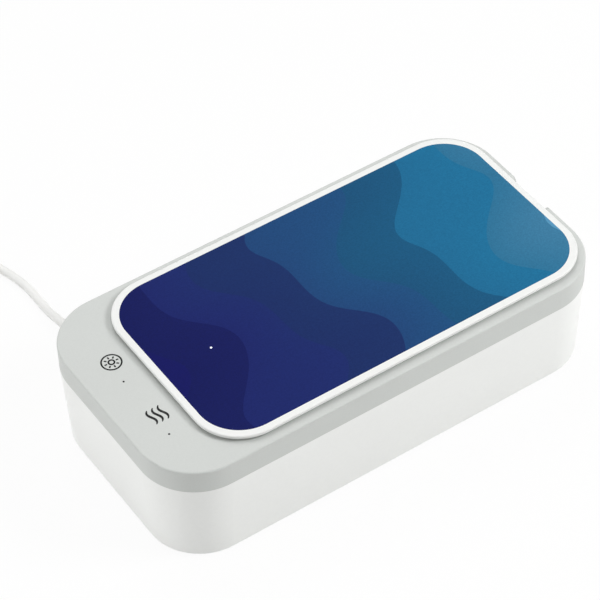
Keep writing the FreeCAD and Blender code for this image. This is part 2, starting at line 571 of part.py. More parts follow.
def lid_screw_places():
    """Six places on the tray's ring, outside the tub's hollow."""
    y = "(tank_width / 2 + small_screw_radius)"
    return [(x, f"{sign}{y}") for x in (f"({TRAY_LEFT} + tray_corner)", "lid_shift",
                                        f"({TRAY_RIGHT} - tray_corner)")
            for sign in ("-", "")]


LID_SCREW_LENGTH = f"({SHEET_BOTTOM} - {RIM_BOTTOM} + ({RIM_BOTTOM} - {TRAY_BOTTOM}) * 0.8)"
LID_SCREW_HEAD = f"({SHEET_BOTTOM} - {RIM_BOTTOM})"


def lid_screw_tool(name, x, y):
    """A flat-head screw: a cone that fills the plate under the sheet, and a shank below it."""
    cone = DOC.addObject("Part::Cone", f"{name}_head")
    bind(cone, {"Radius1": "small_screw_radius", "Radius2": "small_head_radius", "Height": LID_SCREW_HEAD})
    place(cone, x, y, RIM_BOTTOM)
    shank = disc(f"{name}_shank", "small_screw_radius", LID_SCREW_LENGTH, x, y,
                 f"{SHEET_BOTTOM} - {LID_SCREW_LENGTH}")
    return join(name, [cone, shank])


def lid_top():
    plate = slab("lid_plate", "lid_length", "lid_width", "lid_corner", "rim_height", "lid_shift", "0",
                 RIM_BOTTOM, top="rim_edge", bottom="rim_under")
    recess = slab("sheet_recess", "sheet_length", "sheet_width", "sheet_corner", "2 * sheet_height",
                  "lid_shift", "0", SHEET_BOTTOM)
    holes = [lid_screw_tool(f"lid_screw_seat_{i}", x, y) for i, (x, y) in enumerate(lid_screw_places())]
    holes.append(disc("indicator_hole", LAMP_HOLE, "2 * rim_height", "lamp_led_x", "lamp_led_y", RIM_BOTTOM))
    piece(cut("lid_top", plate, [recess] + holes))
    sheet = slab("sheet_plate", "sheet_length", "sheet_width", "sheet_corner", "sheet_height", "lid_shift", "0",
                 SHEET_BOTTOM)
    hole = disc("sheet_hole", LAMP_HOLE, "3 * sheet_height", "lamp_led_x", "lamp_led_y",
                f"{SHEET_BOTTOM} - sheet_height")
    piece(cut("pad_sheet", sheet, [hole]))
    screws = [lid_screw_tool(f"lid_screw_{i}", x, y) for i, (x, y) in enumerate(lid_screw_places())]
    piece(group("lid_screws", screws), 6)
    stem = disc("indicator_stem", "3 * lamp_tip_radius", "indicator_stem", "lamp_led_x", "lamp_led_y",
                f"{RIM_BOTTOM} - indicator_stem")
    tip = disc("indicator_tip", "lamp_tip_radius", "rim_height", "lamp_led_x", "lamp_led_y", RIM_BOTTOM)
    piece(join("lid_indicator", [stem, tip]))


def hinge_arm(name, middle):
    """An arc about the hinge axis that hangs from the tray, with a spoke back to an eye on the axis."""
    low = f"{middle} - arm_width / 2"
    wide = f"4 * {ARM_OUTER}"
    outer = disc(f"{name}_outer", ARM_OUTER, "arm_width", AXIS_X, low, AXIS_Z, turn="Y")
    inner = disc(f"{name}_inner", ARM_INNER, "2 * arm_width", AXIS_X, f"{middle} - arm_width", AXIS_Z, turn="Y")
    above = block(f"{name}_above", wide, "2 * arm_width", wide, AXIS_X, middle, f"{TRAY_BOTTOM} + arm_root")
    left = block(f"{name}_left", wide, "2 * arm_width", wide,
                 f"{AXIS_X} + arm_radius * cos(arm_angle * 1 deg) - {wide} / 2", middle,
                 f"{AXIS_Z} - {wide} / 2")
    arc = cut(f"{name}_arc", outer, [inner, above, left])
    spoke = DOC.addObject("Part::Box", f"{name}_spoke")
    turned = FreeCAD.Rotation(FreeCAD.Vector(0, 1, 0), size("arm_angle"))
    spoke.Placement = FreeCAD.Placement(FreeCAD.Vector(), turned)
    bind(spoke, {"Length": "arm_radius", "Width": "arm_width", "Height": "spoke_thick"})
    place(spoke, f"{AXIS_X} - spoke_thick / 2 * sin(arm_angle * 1 deg)", low,
          f"{AXIS_Z} - spoke_thick / 2 * cos(arm_angle * 1 deg)")
    eye = disc(f"{name}_eye", "eye_radius", "arm_width", AXIS_X, low, AXIS_Z, turn="Y")
    bore = disc(f"{name}_bore", "pin_radius + pin_play", "2 * arm_width", AXIS_X, f"{middle} - arm_width",
                AXIS_Z, turn="Y")
    return cut(name, join(f"{name}_solid", [arc, spoke, eye]), [bore])


def uv_board_screws():
    reach = "(uv_board_half - small_head_radius - uv_screw_margin)"
    return [(f"(tank_shift - {reach})", "0"), (f"(tank_shift + {reach})", "0")]


def charger_screws():
    reach = "(charger_length / 2 - charger_screw_inset)"
    return [(f"(lid_shift - {reach})", "charger_y"), (f"(lid_shift + {reach})", "charger_y")]


def lid_base():
    tray = slab("tray_plate", f"{TRAY_RIGHT} - {TRAY_LEFT}", "lid_width - 2 * well_inset - 2 * tray_clear",
                "tray_corner", f"{RIM_BOTTOM} - {TRAY_BOTTOM}", f"({TRAY_LEFT} + {TRAY_RIGHT}) / 2", "0",
                TRAY_BOTTOM)
    tub = slab("tub_block", "tank_length - 2 * tub_clear", "tank_width - 2 * tub_clear",
               "tank_corner - tub_clear",
               f"{RIM_BOTTOM} - {TUB_BOTTOM}", "tank_shift", "0", TUB_BOTTOM, bottom="tray_wall")
    inset = "(tub_clear + tray_wall)"
    hollow = slab("tub_hollow", f"tank_length - 2 * {inset}", f"tank_width - 2 * {inset}",
                  f"tank_corner - {inset}", f"{RIM_BOTTOM} - {TUB_FLOOR}", "tank_shift", "0", TUB_FLOOR)
    shell = cut("tub_shell", join("tub_solid", [tray, tub]), [hollow])
    added = [hinge_arm(f"hinge_arm_{i}", middle) for i, middle in enumerate(hinge_middles())]
    holes = [slab("pane_opening", "pane_length - 2 * pane_seat", "pane_width - 2 * pane_seat", "pane_seat",
                  "3 * tray_wall", "tank_shift", "0", f"{TUB_BOTTOM} - tray_wall")]
    for i, (x, y) in enumerate(uv_board_screws()):
        added.append(disc(f"uv_boss_{i}", "small_head_radius + boss_wall",
                          f"{UV_BOARD_UNDER} - {TUB_FLOOR}", x, y, TUB_FLOOR))
        holes.append(disc(f"uv_boss_hole_{i}", "small_screw_radius", f"{UV_BOARD_UNDER} - {TUB_FLOOR}", x,
                          y, TUB_FLOOR))
    for i, (x, y) in enumerate(charger_screws()):
        added.append(disc(f"pad_boss_{i}", "small_head_radius + boss_wall",
                          f"{CHARGER_UNDER} - {TUB_FLOOR}", x, y, TUB_FLOOR))
        holes.append(disc(f"pad_boss_hole_{i}", "small_screw_radius", f"{CHARGER_UNDER} - {TUB_FLOOR}", x,
                          y, TUB_FLOOR))
    for i, (x, y) in enumerate(lid_screw_places()):
        holes.append(lid_screw_tool(f"tray_screw_seat_{i}", x, y))
    for i, (x, y) in enumerate(lid_magnet_places()):
        holes.append(disc(f"lid_magnet_seat_{i}", "magnet_radius", "magnet_height", x, y,
                          f"{RIM_BOTTOM} - magnet_height"))
    piece(cut("lid_base", join("lid_joined", [shell] + added), holes))
    magnets = [disc(f"lid_magnet_{i}", "magnet_radius", "magnet_height", x, y, f"{RIM_BOTTOM} - magnet_height")
               for i, (x, y) in enumerate(lid_magnet_places())]
    piece(group("lid_magnets", magnets), 3)
    plate = ring_outline("seal_plate", "seal_width - tub_clear", "seal_height", f"{TRAY_BOTTOM} - seal_height")
    hole = ring_outline("seal_hole", "0 - tub_clear", "3 * seal_height", f"{TRAY_BOTTOM} - 2 * seal_height")
    piece(cut("lid_seal", plate, [hole]))


def lid_electronics():
    ring = disc("coil_disc", "coil_outer", "coil_height", "lid_shift", "0", f"{RIM_BOTTOM} - coil_height")
    hole = disc("coil_hole", "coil_inner", "3 * coil_height", "lid_shift", "0",
                f"{RIM_BOTTOM} - 2 * coil_height")
    piece(cut("charging_coil", ring, [hole]))
    piece(disc("ferrite_sheet", "coil_outer + ferrite_margin", "ferrite_height", "lid_shift", "0",
               f"{RIM_BOTTOM} - coil_height - ferrite_height"))
    plate = block("charger_plate", "charger_length", "charger_width", "board_height", "lid_shift", "charger_y",
                  CHARGER_UNDER)
    holes = [disc(f"charger_hole_{i}", "small_screw_radius", "board_height", x, y, CHARGER_UNDER)
             for i, (x, y) in enumerate(charger_screws())]
    piece(cut("charger_board", plate, holes))
    plate = block("uv_plate", "2 * uv_board_half", "uv_board_width", "board_height", "tank_shift", "0",
                  UV_BOARD_UNDER)
    holes = [disc(f"uv_hole_{i}", "small_screw_radius", "board_height", x, y, UV_BOARD_UNDER)
             for i, (x, y) in enumerate(uv_board_screws())]
    piece(cut("uv_board", plate, holes))
    leds = [block(f"led_{i}", "led_size", "led_size", "led_height", f"tank_shift + led_pitch * {i - 2.5}", "0",
                  f"{UV_BOARD_UNDER} - led_height") for i in range(6)]
    piece(group("uv_leds", leds), 6)
    piece(block("uv_window", "pane_length", "pane_width", "pane_height", "tank_shift", "0", TUB_FLOOR))
    screws = [screw(f"uv_screw_{i}", "small_screw_radius", "board_height + led_height", "small_head_radius",
                    "low_head_height", x, y, f"({UV_BOARD_UNDER} + board_height)", head_below=False)
              for i, (x, y) in enumerate(uv_board_screws())]
    screws += [screw(f"charger_screw_{i}", "small_screw_radius", "board_height + charger_screw_grip",
                     "small_head_radius",
                     "low_head_height", x, y, f"({CHARGER_UNDER} + board_height)", head_below=False)
               for i, (x, y) in enumerate(charger_screws())]
    piece(group("lid_board_screws", screws), 4)


# The cord leaves the plug in the back wall, comes down to the table and runs away from the housing to its coil.
# Each place has its distance beside the socket, its distance behind the housing, the share that is left of the
# drop from the socket to the table, and the share of the coil's lift, which is the strap under the coil.
CORD_ROUTE = [(0.0, 34.85, 1.0, 0.0), (-0.1, 43.35, 0.489, 0.0), (-0.1, 51.85, 0.0, 0.0),
              (0.1, 60.85, 0.0, 0.0),
              (-0.1, 69.85, 0.0, 0.0), (-1.2, 77.85, 0.0, 0.0), (-3.3, 85.35, 0.0, 0.0),
              (-5.7, 92.85, 0.0, 0.0),
              (-7.6, 100.35, 0.0, 0.545), (-8.4, 108.35, 0.0, 1.0), (-8.4, 116.35, 0.0, 1.0)]
# From the coil's top layer the tail comes down beside it to the end plug, which lies on the table.
# Each place has its distances beside and before the coil's end and its share of the drop.
TAIL_DROP = [(0.0, -8.0, 0.0), (0.6, -16.5, 0.2727273), (1.6, -25.0, 0.7878788), (2.0, -33.5, 1.0),
             (2.0, -41.5, 1.0)]
TURNS_IN = 3.75
TURNS_OUT = 3.25


def cord_places():
    """The cord's places from the end of the plug's boot to the start of its coil."""
    lying = size("cord_diameter") / 2
    lift = size("tie_under + tie_thick")
    out = FreeCAD.Vector(size("socket_x"), size(f"{WALL_FACE} + plug_gap + plug_length + boot_length"),
                         size(SOCKET_Z))
    back = size("body_width") / 2
    return [out] + [FreeCAD.Vector(out.x + beside, back + behind,
                                   lying + left * (out.z - lying) + raised * lift)
                    for beside, behind, left, raised in CORD_ROUTE]


def rounded_path(points):
    """Straight runs joined by tangent arcs, each arc as large as its two runs allow."""
    edges = []
    radii = []
    start = points[0]
    for before, here, after in zip(points, points[1:], points[2:]):
        arriving = (here - before).normalize()
        leaving = (after - here).normalize()
        half_turn = arriving.getAngle(leaving) / 2
        reach = 0.45 * min((here - before).Length, (after - here).Length)
        radius = reach / math.tan(half_turn)
        first = here - arriving * reach
        last = here + leaving * reach
        inward = (leaving - arriving).normalize()
        middle = here + inward * (radius / math.cos(half_turn) - radius)
        edges.append(Part.LineSegment(start, first).toShape())
        edges.append(Part.Arc(first, middle, last).toShape())
        start = last
        radii.append(radius)
    edges.append(Part.LineSegment(start, points[-1]).toShape())
    return Part.Wire(edges), radii


def tube(name, wire, direction):
    """A round tube along a wire, with its volume compared with its section times its length."""
    radius = size("cord_diameter") / 2
    start = wire.OrderedVertexes[0].Point
    profile = Part.Wire([Part.Circle(start, direction, radius).toShape()])
    solid = wire.makePipeShell([profile], True, False)
    ratio = solid.Volume / (math.pi * radius**2 * wire.Length)
    print(f"{name}: length {wire.Length:.1f} mm, volume over section times length {ratio:.5f}")
    if abs(ratio - 1) > 0.002:
        raise ValueError(f"{name} isn't a true tube")
    return solid


def biarc(p0, t0, p1, t1):
    """Two arcs that leave p0 along t0, meet smoothly and reach p1 along t1."""
    chord = p1 - p0
    both = t0 + t1
    spread = 2 * (1 - t0.dot(t1))
    along = chord.dot(both)
    reach = (math.sqrt(along**2 + spread * chord.dot(chord)) - along) / spread
    joint = (p0 + t0 * reach + p1 - t1 * reach) * 0.5
    return [tangent_arc(p0, t0, joint), tangent_arc(joint, None, p1, t1)]


def tangent_arc(start, leaving, end, arriving=None):
    """The arc from start to end whose tangent at one of its ends is given."""
    chord = end - start
    tangent = leaving if leaving is not None else arriving
    length = chord.Length
    unit = FreeCAD.Vector(chord).normalize()
    across = tangent - unit * tangent.dot(unit)
    if leaving is None:
        across = across * -1
    angle = tangent.getAngle(unit)
    sagitta = length / 2 * math.tan(angle / 2)
    return Part.Arc(start, (start + end) * 0.5 + across.normalize() * sagitta, end).toShape()


def coil_formula(turn, centre, pitch):
    """A place on the coil: turns spiral in, climb one layer in half a turn, and spiral out again."""
    rate = pitch / (2 * math.pi)
    inner = size("coil_radius") - pitch * TURNS_IN
    climb = turn - TURNS_IN
    height = 0.0
    if climb < 0:
        radius = size("coil_radius") - pitch * turn
    elif climb < 0.5:
        radius = inner - rate * math.sin(2 * math.pi * climb)
        height = pitch * (2 * climb - math.sin(4 * math.pi * climb) / (2 * math.pi))
    else:
        radius = inner + pitch * (climb - 0.5)
        height = pitch
    angle = 2 * math.pi * turn
    return centre + FreeCAD.Vector(radius * math.cos(angle), radius * math.sin(angle), height)


def coil_tangent(turn, centre, pitch):
    step = 1e-4
    return (coil_formula(turn + step, centre, pitch) - coil_formula(turn - step, centre, pitch)).normalize()


def least_gap(wire, diameter):
    """The least gap of a tube to itself, measured between points along it that aren't neighbours."""
    points = wire.discretize(Number=1400)
    step = wire.Length / 1399
    skip = int(3 * diameter / step)
    least = min((points[i] - points[j]).Length for i in range(len(points))
                for j in range(i + skip, len(points), 2))
    return least - diameter


def cord():
    diameter = size("cord_diameter")
    along = FreeCAD.Vector(0, 1, 0)
    route = cord_places()
    wire, radii = rounded_path(route)
    print("cord radii", [round(r, 1) for r in radii])
    piece(solid_feature("cord", tube("cord", wire, along)))

    pitch = diameter + size("coil_gap")
    start = route[-1]
    first = start + along * diameter
    centre = first - FreeCAD.Vector(size("coil_radius"), 0, 0)
    quarters = int(round(4 * (TURNS_IN + 0.5 + TURNS_OUT)))
    places = [coil_formula(q / 4, centre, pitch) for q in range(quarters + 1)]
    tangents = [coil_tangent(q / 4, centre, pitch) for q in range(quarters + 1)]
    tangents[0] = along
    tangents[-1] = along * -1
    edges = [Part.LineSegment(start, first).toShape()]
    for q in range(quarters):
        edges += biarc(places[q], tangents[q], places[q + 1], tangents[q + 1])
    end = places[-1] - along * diameter
    edges.append(Part.LineSegment(places[-1], end).toShape())
    wire = Part.Wire(edges)
    gap = least_gap(wire, diameter)
    print(f"cord_coil: least gap to itself {gap:.2f} mm")
    if gap < 0.4:
        raise ValueError("the coil touches itself")
    piece(solid_feature("cord_coil", tube("cord_coil", wire, along)))

    drop = end.z - size("end_height") / 2
    tail = [end] + [end + FreeCAD.Vector(beside, before, -share * drop) for beside, before, share in TAIL_DROP]
    wire, radii = rounded_path(tail)
    print("cord_tail radii", [round(r, 1) for r in radii])
    piece(solid_feature("cord_tail", tube("cord_tail", wire, along * -1)))
    cord_tie(centre, pitch)
    end_plug(tail[-1])


def cord_tie(centre, pitch):
    """A flat strap round the coil's two layers, on the side towards the housing."""
    radius = size("cord_diameter") / 2
    gap = size("tie_gap")
    thick = size("tie_thick")
    width = size("tie_width")
    inner_turn = size("coil_radius") - pitch * TURNS_IN
    outer_turn = size("coil_radius") - pitch * (TURNS_IN % 1)
    bow = inner_turn - math.sqrt(inner_turn**2 - (width / 2)**2)
    low = -outer_turn - radius - gap
    high = -inner_turn + radius + bow + 2 * gap
    bottom = -radius - size("tie_under")
    top = pitch + radius + gap
    outer = Part.makeBox(width, high - low + 2 * thick, top - bottom + 2 * thick,
                         centre + FreeCAD.Vector(-width / 2, low - thick, bottom - thick))
    inner = Part.makeBox(2 * width, high - low, top - bottom, centre + FreeCAD.Vector(-width, low, bottom))
    piece(solid_feature("cord_tie", outer.cut(inner)))


def inlet_plug():
    """The plug in the back wall: a metal tongue in the socket, a moulded grip and a tapered boot."""
    base = f"({WALL_FACE} + plug_gap)"
    grip = slab("plug_grip", "plug_width", "plug_height", "plug_height * 0.42", "plug_length", "0", "0", "0")
    grip.Placement = FreeCAD.Placement(FreeCAD.Vector(), FreeCAD.Rotation(FreeCAD.Vector(1, 0, 0), -90))
    place(grip, "socket_x", base, SOCKET_Z)
    boot = DOC.addObject("Part::Cone", "plug_boot")
    boot.Placement = FreeCAD.Placement(FreeCAD.Vector(), FreeCAD.Rotation(FreeCAD.Vector(1, 0, 0), -90))
    bind(boot, {"Radius1": "boot_radius", "Radius2": "cord_diameter / 2 + boot_tip", "Height": "boot_length"})
    place(boot, "socket_x", f"{base} + plug_length", SOCKET_Z)
    piece(join("inlet_plug", [grip, boot]))
    tongue_width = "(socket_width - 2 * socket_wall - 2 * plug_play)"
    tongue_height = "(socket_height - 2 * socket_wall - 2 * plug_play)"
    piece(block("inlet_plug_tongue", tongue_width, "tongue_length", tongue_height, "socket_x",
                f"{base} - tongue_length / 2", f"{SOCKET_Z} - {tongue_height} / 2"))


def end_plug(start):
    """The plug at the cord's end: boot, moulded grip and flat metal shell, lying on the table."""
    turn = FreeCAD.Rotation(FreeCAD.Vector(1, 0, 0), 90)
    boot = DOC.addObject("Part::Cone", "end_boot")
    boot.Placement = FreeCAD.Placement(start, turn)
    bind(boot, {"Radius1": "cord_diameter / 2 + boot_tip", "Radius2": "boot_radius", "Height": "boot_length"})
    grip = slab("end_grip", "end_width", "end_height", "end_height * 0.3", "end_length", "0", "0", "0")
    grip.Placement = FreeCAD.Placement(FreeCAD.Vector(), turn)
    place(grip, str(start.x), f"{start.y} - boot_length", str(start.z))
    piece(join("end_plug", [boot, grip]))
    piece(block("end_plug_shell", "shell_width", "shell_length", "shell_height", str(start.x),
                f"{start.y} - boot_length - end_length - shell_length / 2", f"{start.z} - shell_height / 2"))


def check_and_write():
    DOC.recompute()
    for item in DOC.Objects:
        if any(state in ("Invalid", "Error") for state in item.State):
            raise ValueError(f"{item.Name} failed: {item.State}")
    for item, solids in PIECES:
        item.Label = item.Name
        shape = item.Shape
        if shape.isNull() or not shape.isValid():
            raise ValueError(f"{item.Label} has no valid shape")
        if len(shape.Solids) != solids:
            raise ValueError(f"{item.Label} has {len(shape.Solids)} solids, not {solids}")
    os.makedirs("parts", exist_ok=True)
    for item, _ in PIECES:
        item.Shape.exportStep(f"parts/{item.Label}.step")
    print(len(PIECES), "pieces written")


base_shell()
feet_and_case_screws()
deck()
hinge_pins()
tank()
drive_electronics()
inlet()
control_electronics()
lid_top()
lid_base()
lid_electronics()
inlet_plug()
cord()
check_and_write()
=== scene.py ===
import math

import bmesh
import bpy
import numpy as np
from mathutils import Matrix, Vector


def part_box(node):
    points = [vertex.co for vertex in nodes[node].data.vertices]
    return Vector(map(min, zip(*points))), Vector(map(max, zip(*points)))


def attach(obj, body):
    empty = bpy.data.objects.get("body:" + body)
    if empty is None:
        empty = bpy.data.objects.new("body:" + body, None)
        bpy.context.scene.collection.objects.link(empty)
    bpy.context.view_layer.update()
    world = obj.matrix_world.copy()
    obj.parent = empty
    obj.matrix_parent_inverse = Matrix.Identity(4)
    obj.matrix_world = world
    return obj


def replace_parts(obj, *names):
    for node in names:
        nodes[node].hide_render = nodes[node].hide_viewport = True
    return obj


# A sanitizing box with a printed charging lid. Lengths are in millimetres, except where metres are named.
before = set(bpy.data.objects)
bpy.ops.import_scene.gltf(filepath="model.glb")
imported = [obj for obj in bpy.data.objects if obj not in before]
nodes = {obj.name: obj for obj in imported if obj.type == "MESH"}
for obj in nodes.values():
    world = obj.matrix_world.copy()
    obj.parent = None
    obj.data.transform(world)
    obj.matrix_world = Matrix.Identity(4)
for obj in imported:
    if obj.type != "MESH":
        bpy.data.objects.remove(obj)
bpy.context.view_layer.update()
scene = bpy.context.scene
scene.view_settings.view_transform = "Standard"

MM = 0.001
DECK_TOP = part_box("deck")[1].z / MM
TURN = 2 * math.pi


def colour(text):
    """Turns an sRGB hex value into linear red, green, blue and alpha."""
    parts = [int(text[i:i + 2], 16) / 255 for i in (1, 3, 5)]
    return tuple(c / 12.92 if c <= 0.04045 else ((c + 0.055) / 1.055) ** 2.4 for c in parts) + (1.0,)


def add(tree, kind, inputs=None, **settings):
    """Adds a node to a tree.

    settings are the node's own values, and inputs holds a number, a colour or a link for each socket.
    """
    item = tree.nodes.new(kind)
    for name, value in settings.items():
        setattr(item, name, value)
    for key, value in (inputs or {}).items():
        if isinstance(value, bpy.types.NodeSocket):
            tree.links.new(value, item.inputs[key])
        else:
            item.inputs[key].default_value = value
    return item


# Camera, light and floor

def photo_camera():
    """A long lens at the photograph's angle, aimed at the part's middle, with the picture rolled a little."""
    azimuth, elevation, roll = (math.radians(a) for a in (-32.87, 45.86, -1.90))
    target = Vector((2.66, 23.65, 31.16)) * MM
    distance = 1164.72 * MM
    pixels_per_unit_slope = 2629.75
    picture_width = 600
    back = Vector((math.sin(azimuth) * math.cos(elevation), -math.cos(azimuth) * math.cos(elevation),
                   math.sin(elevation)))
    right = Vector((math.cos(azimuth), math.sin(azimuth), 0))
    up = back.cross(right)
    across = right * math.cos(roll) + up * math.sin(roll)
    upright = up * math.cos(roll) - right * math.sin(roll)
    camera = bpy.data.objects.new("camera", bpy.data.cameras.new("camera"))
    camera.data.sensor_width = 36.0
    camera.data.lens = camera.data.sensor_width * pixels_per_unit_slope / picture_width
    turned = Matrix((across, upright, back)).transposed().to_4x4()
    camera.matrix_world = Matrix.Translation(target + back * distance) @ turned
    scene.collection.objects.link(camera)
    scene.camera = camera


def seen_directly(tree):
    """1 for what the camera sees, by itself, in a reflection or through glass, and 0 for other light."""
    path = add(tree, "ShaderNodeLightPath")
    both = add(tree, "ShaderNodeMath", {0: path.outputs["Is Camera Ray"], 1: path.outputs["Is Glossy Ray"]},
               operation="ADD")
    return add(tree, "ShaderNodeMath", {0: both.outputs[0], 1: path.outputs["Is Transmission Ray"]},
               operation="ADD", use_clamp=True).outputs[0]


# The even light that falls on surfaces, and the share of plain white in what is seen of the floor.
ROOM_LIGHT = 0.365
FLOOR_GLOW = 0.93
# Each lamp's name, place and side in metres, and watts.
LAMPS = (
    ("lamp_back", (0.10, 0.70, 1.30), 0.9, 5.8),
    ("lamp_left", (-1.05, 0.45, 0.40), 0.8, 4.4),
    ("lamp_right", (0.75, -0.67, 1.01), 0.5, 10.1),
)
# The place that every lamp is aimed at, and how far the floor reaches to each side, in metres.
LAMP_AIM = Vector((0, 0, 0.04))
FLOOR_REACH = 4.0


def studio():
    """A white room: even light from all round, three soft lamps and a pale floor that keeps the shadow."""
    world = bpy.data.worlds.new("studio")
    scene.world = world
    world.use_nodes = True
    tree = world.node_tree
    tree.nodes.clear()
    light = add(tree, "ShaderNodeBackground", {"Color": colour("#ffffff"), "Strength": ROOM_LIGHT})
    white = add(tree, "ShaderNodeBackground", {"Color": colour("#ffffff"), "Strength": 1.0})
    mixed = add(tree, "ShaderNodeMixShader",
                {0: seen_directly(tree), 1: light.outputs[0], 2: white.outputs[0]})
    add(tree, "ShaderNodeOutputWorld", {"Surface": mixed.outputs[0]})

    for name, place, side, watts in LAMPS:
        data = bpy.data.lights.new(name, "AREA")
        data.size = side
        data.energy = watts
        lamp = bpy.data.objects.new(name, data)
        facing = (Vector(place) - LAMP_AIM).to_track_quat("Z", "Y")
        lamp.matrix_world = Matrix.Translation(place) @ facing.to_matrix().to_4x4()
        scene.collection.objects.link(lamp)

    item = bpy.data.materials.new("paper_floor")
    item.use_nodes = True
    tree = item.node_tree
    tree.nodes.clear()
    paper = add(tree, "ShaderNodeBsdfDiffuse", {"Color": colour("#f6f6f5")})
    glow = add(tree, "ShaderNodeEmission", {"Color": colour("#ffffff"), "Strength": 1.0})
    share = add(tree, "ShaderNodeMath", {0: seen_directly(tree), 1: FLOOR_GLOW}, operation="MULTIPLY")
    mixed = add(tree, "ShaderNodeMixShader",
                {0: share.outputs[0], 1: paper.outputs[0], 2: glow.outputs[0]})
    add(tree, "ShaderNodeOutputMaterial", {"Surface": mixed.outputs[0]})
    mesh = bpy.data.meshes.new("floor")
    corners = [(x * FLOOR_REACH, y * FLOOR_REACH, 0) for x, y in ((-1, -1), (1, -1), (1, 1), (-1, 1))]
    mesh.from_pydata(corners, [], [(0, 1, 2, 3)])
    mesh.materials.append(item)
    floor = bpy.data.objects.new("floor", mesh)
    scene.collection.objects.link(floor)


# Finishes

def start(name, sockets):
    """A material with one shader, its even values on the shader's own sockets, and a place in millimetres."""
    item = bpy.data.materials.new(name)
    item.use_nodes = True
    tree = item.node_tree
    tree.nodes.clear()
    shader = add(tree, "ShaderNodeBsdfPrincipled", sockets)
    add(tree, "ShaderNodeOutputMaterial", {"Surface": shader.outputs[0]})
    place = add(tree, "ShaderNodeTexCoord").outputs["Object"]
    mm = add(tree, "ShaderNodeVectorMath", {0: place, 1: (1 / MM,) * 3}, operation="MULTIPLY").outputs[0]
    return item, tree, shader, mm


def speckled(name, sockets, pale, deep, grain, rough, bump, stretch=(1, 1, 1)):
    """A finish whose grain, a noise with cells of that many millimetres, varies its tone, gloss and relief.

    pale and deep are the two ends of its tone, rough the two ends of its roughness, bump its relief in
    millimetres, and stretch draws the grain out along an axis.
    """
    item, tree, shader, mm = start(name, sockets)
    shrink = tuple(1 / s for s in stretch)
    drawn = add(tree, "ShaderNodeVectorMath", {0: mm, 1: shrink}, operation="MULTIPLY")
    noise = add(tree, "ShaderNodeTexNoise", {"Vector": drawn.outputs[0], "Scale": 1 / grain, "Detail": 3.0})
    # A second noise with broad cells shifts the tone slowly along a piece.
    broad_cells = 60
    broad = add(tree, "ShaderNodeTexNoise", {"Vector": mm, "Scale": 1 / broad_cells, "Detail": 1.0})
    both = add(tree, "ShaderNodeMath", {0: noise.outputs[0], 1: broad.outputs[0]}, operation="ADD")
    level = add(tree, "ShaderNodeMapRange", {0: both.outputs[0], 1: 0.6, 2: 1.4, 3: 0.0, 4: 1.0})
    tone = add(tree, "ShaderNodeMixRGB", {0: level.outputs[0], 1: colour(deep), 2: colour(pale)})
    gloss = add(tree, "ShaderNodeMapRange",
                {0: noise.outputs[0], 1: 0.3, 2: 0.7, 3: rough[0], 4: rough[1]})
    relief = add(tree, "ShaderNodeBump",
                 {"Height": noise.outputs[0], "Strength": 1.0, "Distance": bump * MM})
    tree.links.new(tone.outputs[0], shader.inputs["Base Color"])
    tree.links.new(gloss.outputs[0], shader.inputs["Roughness"])
    tree.links.new(relief.outputs[0], shader.inputs["Normal"])
    return item


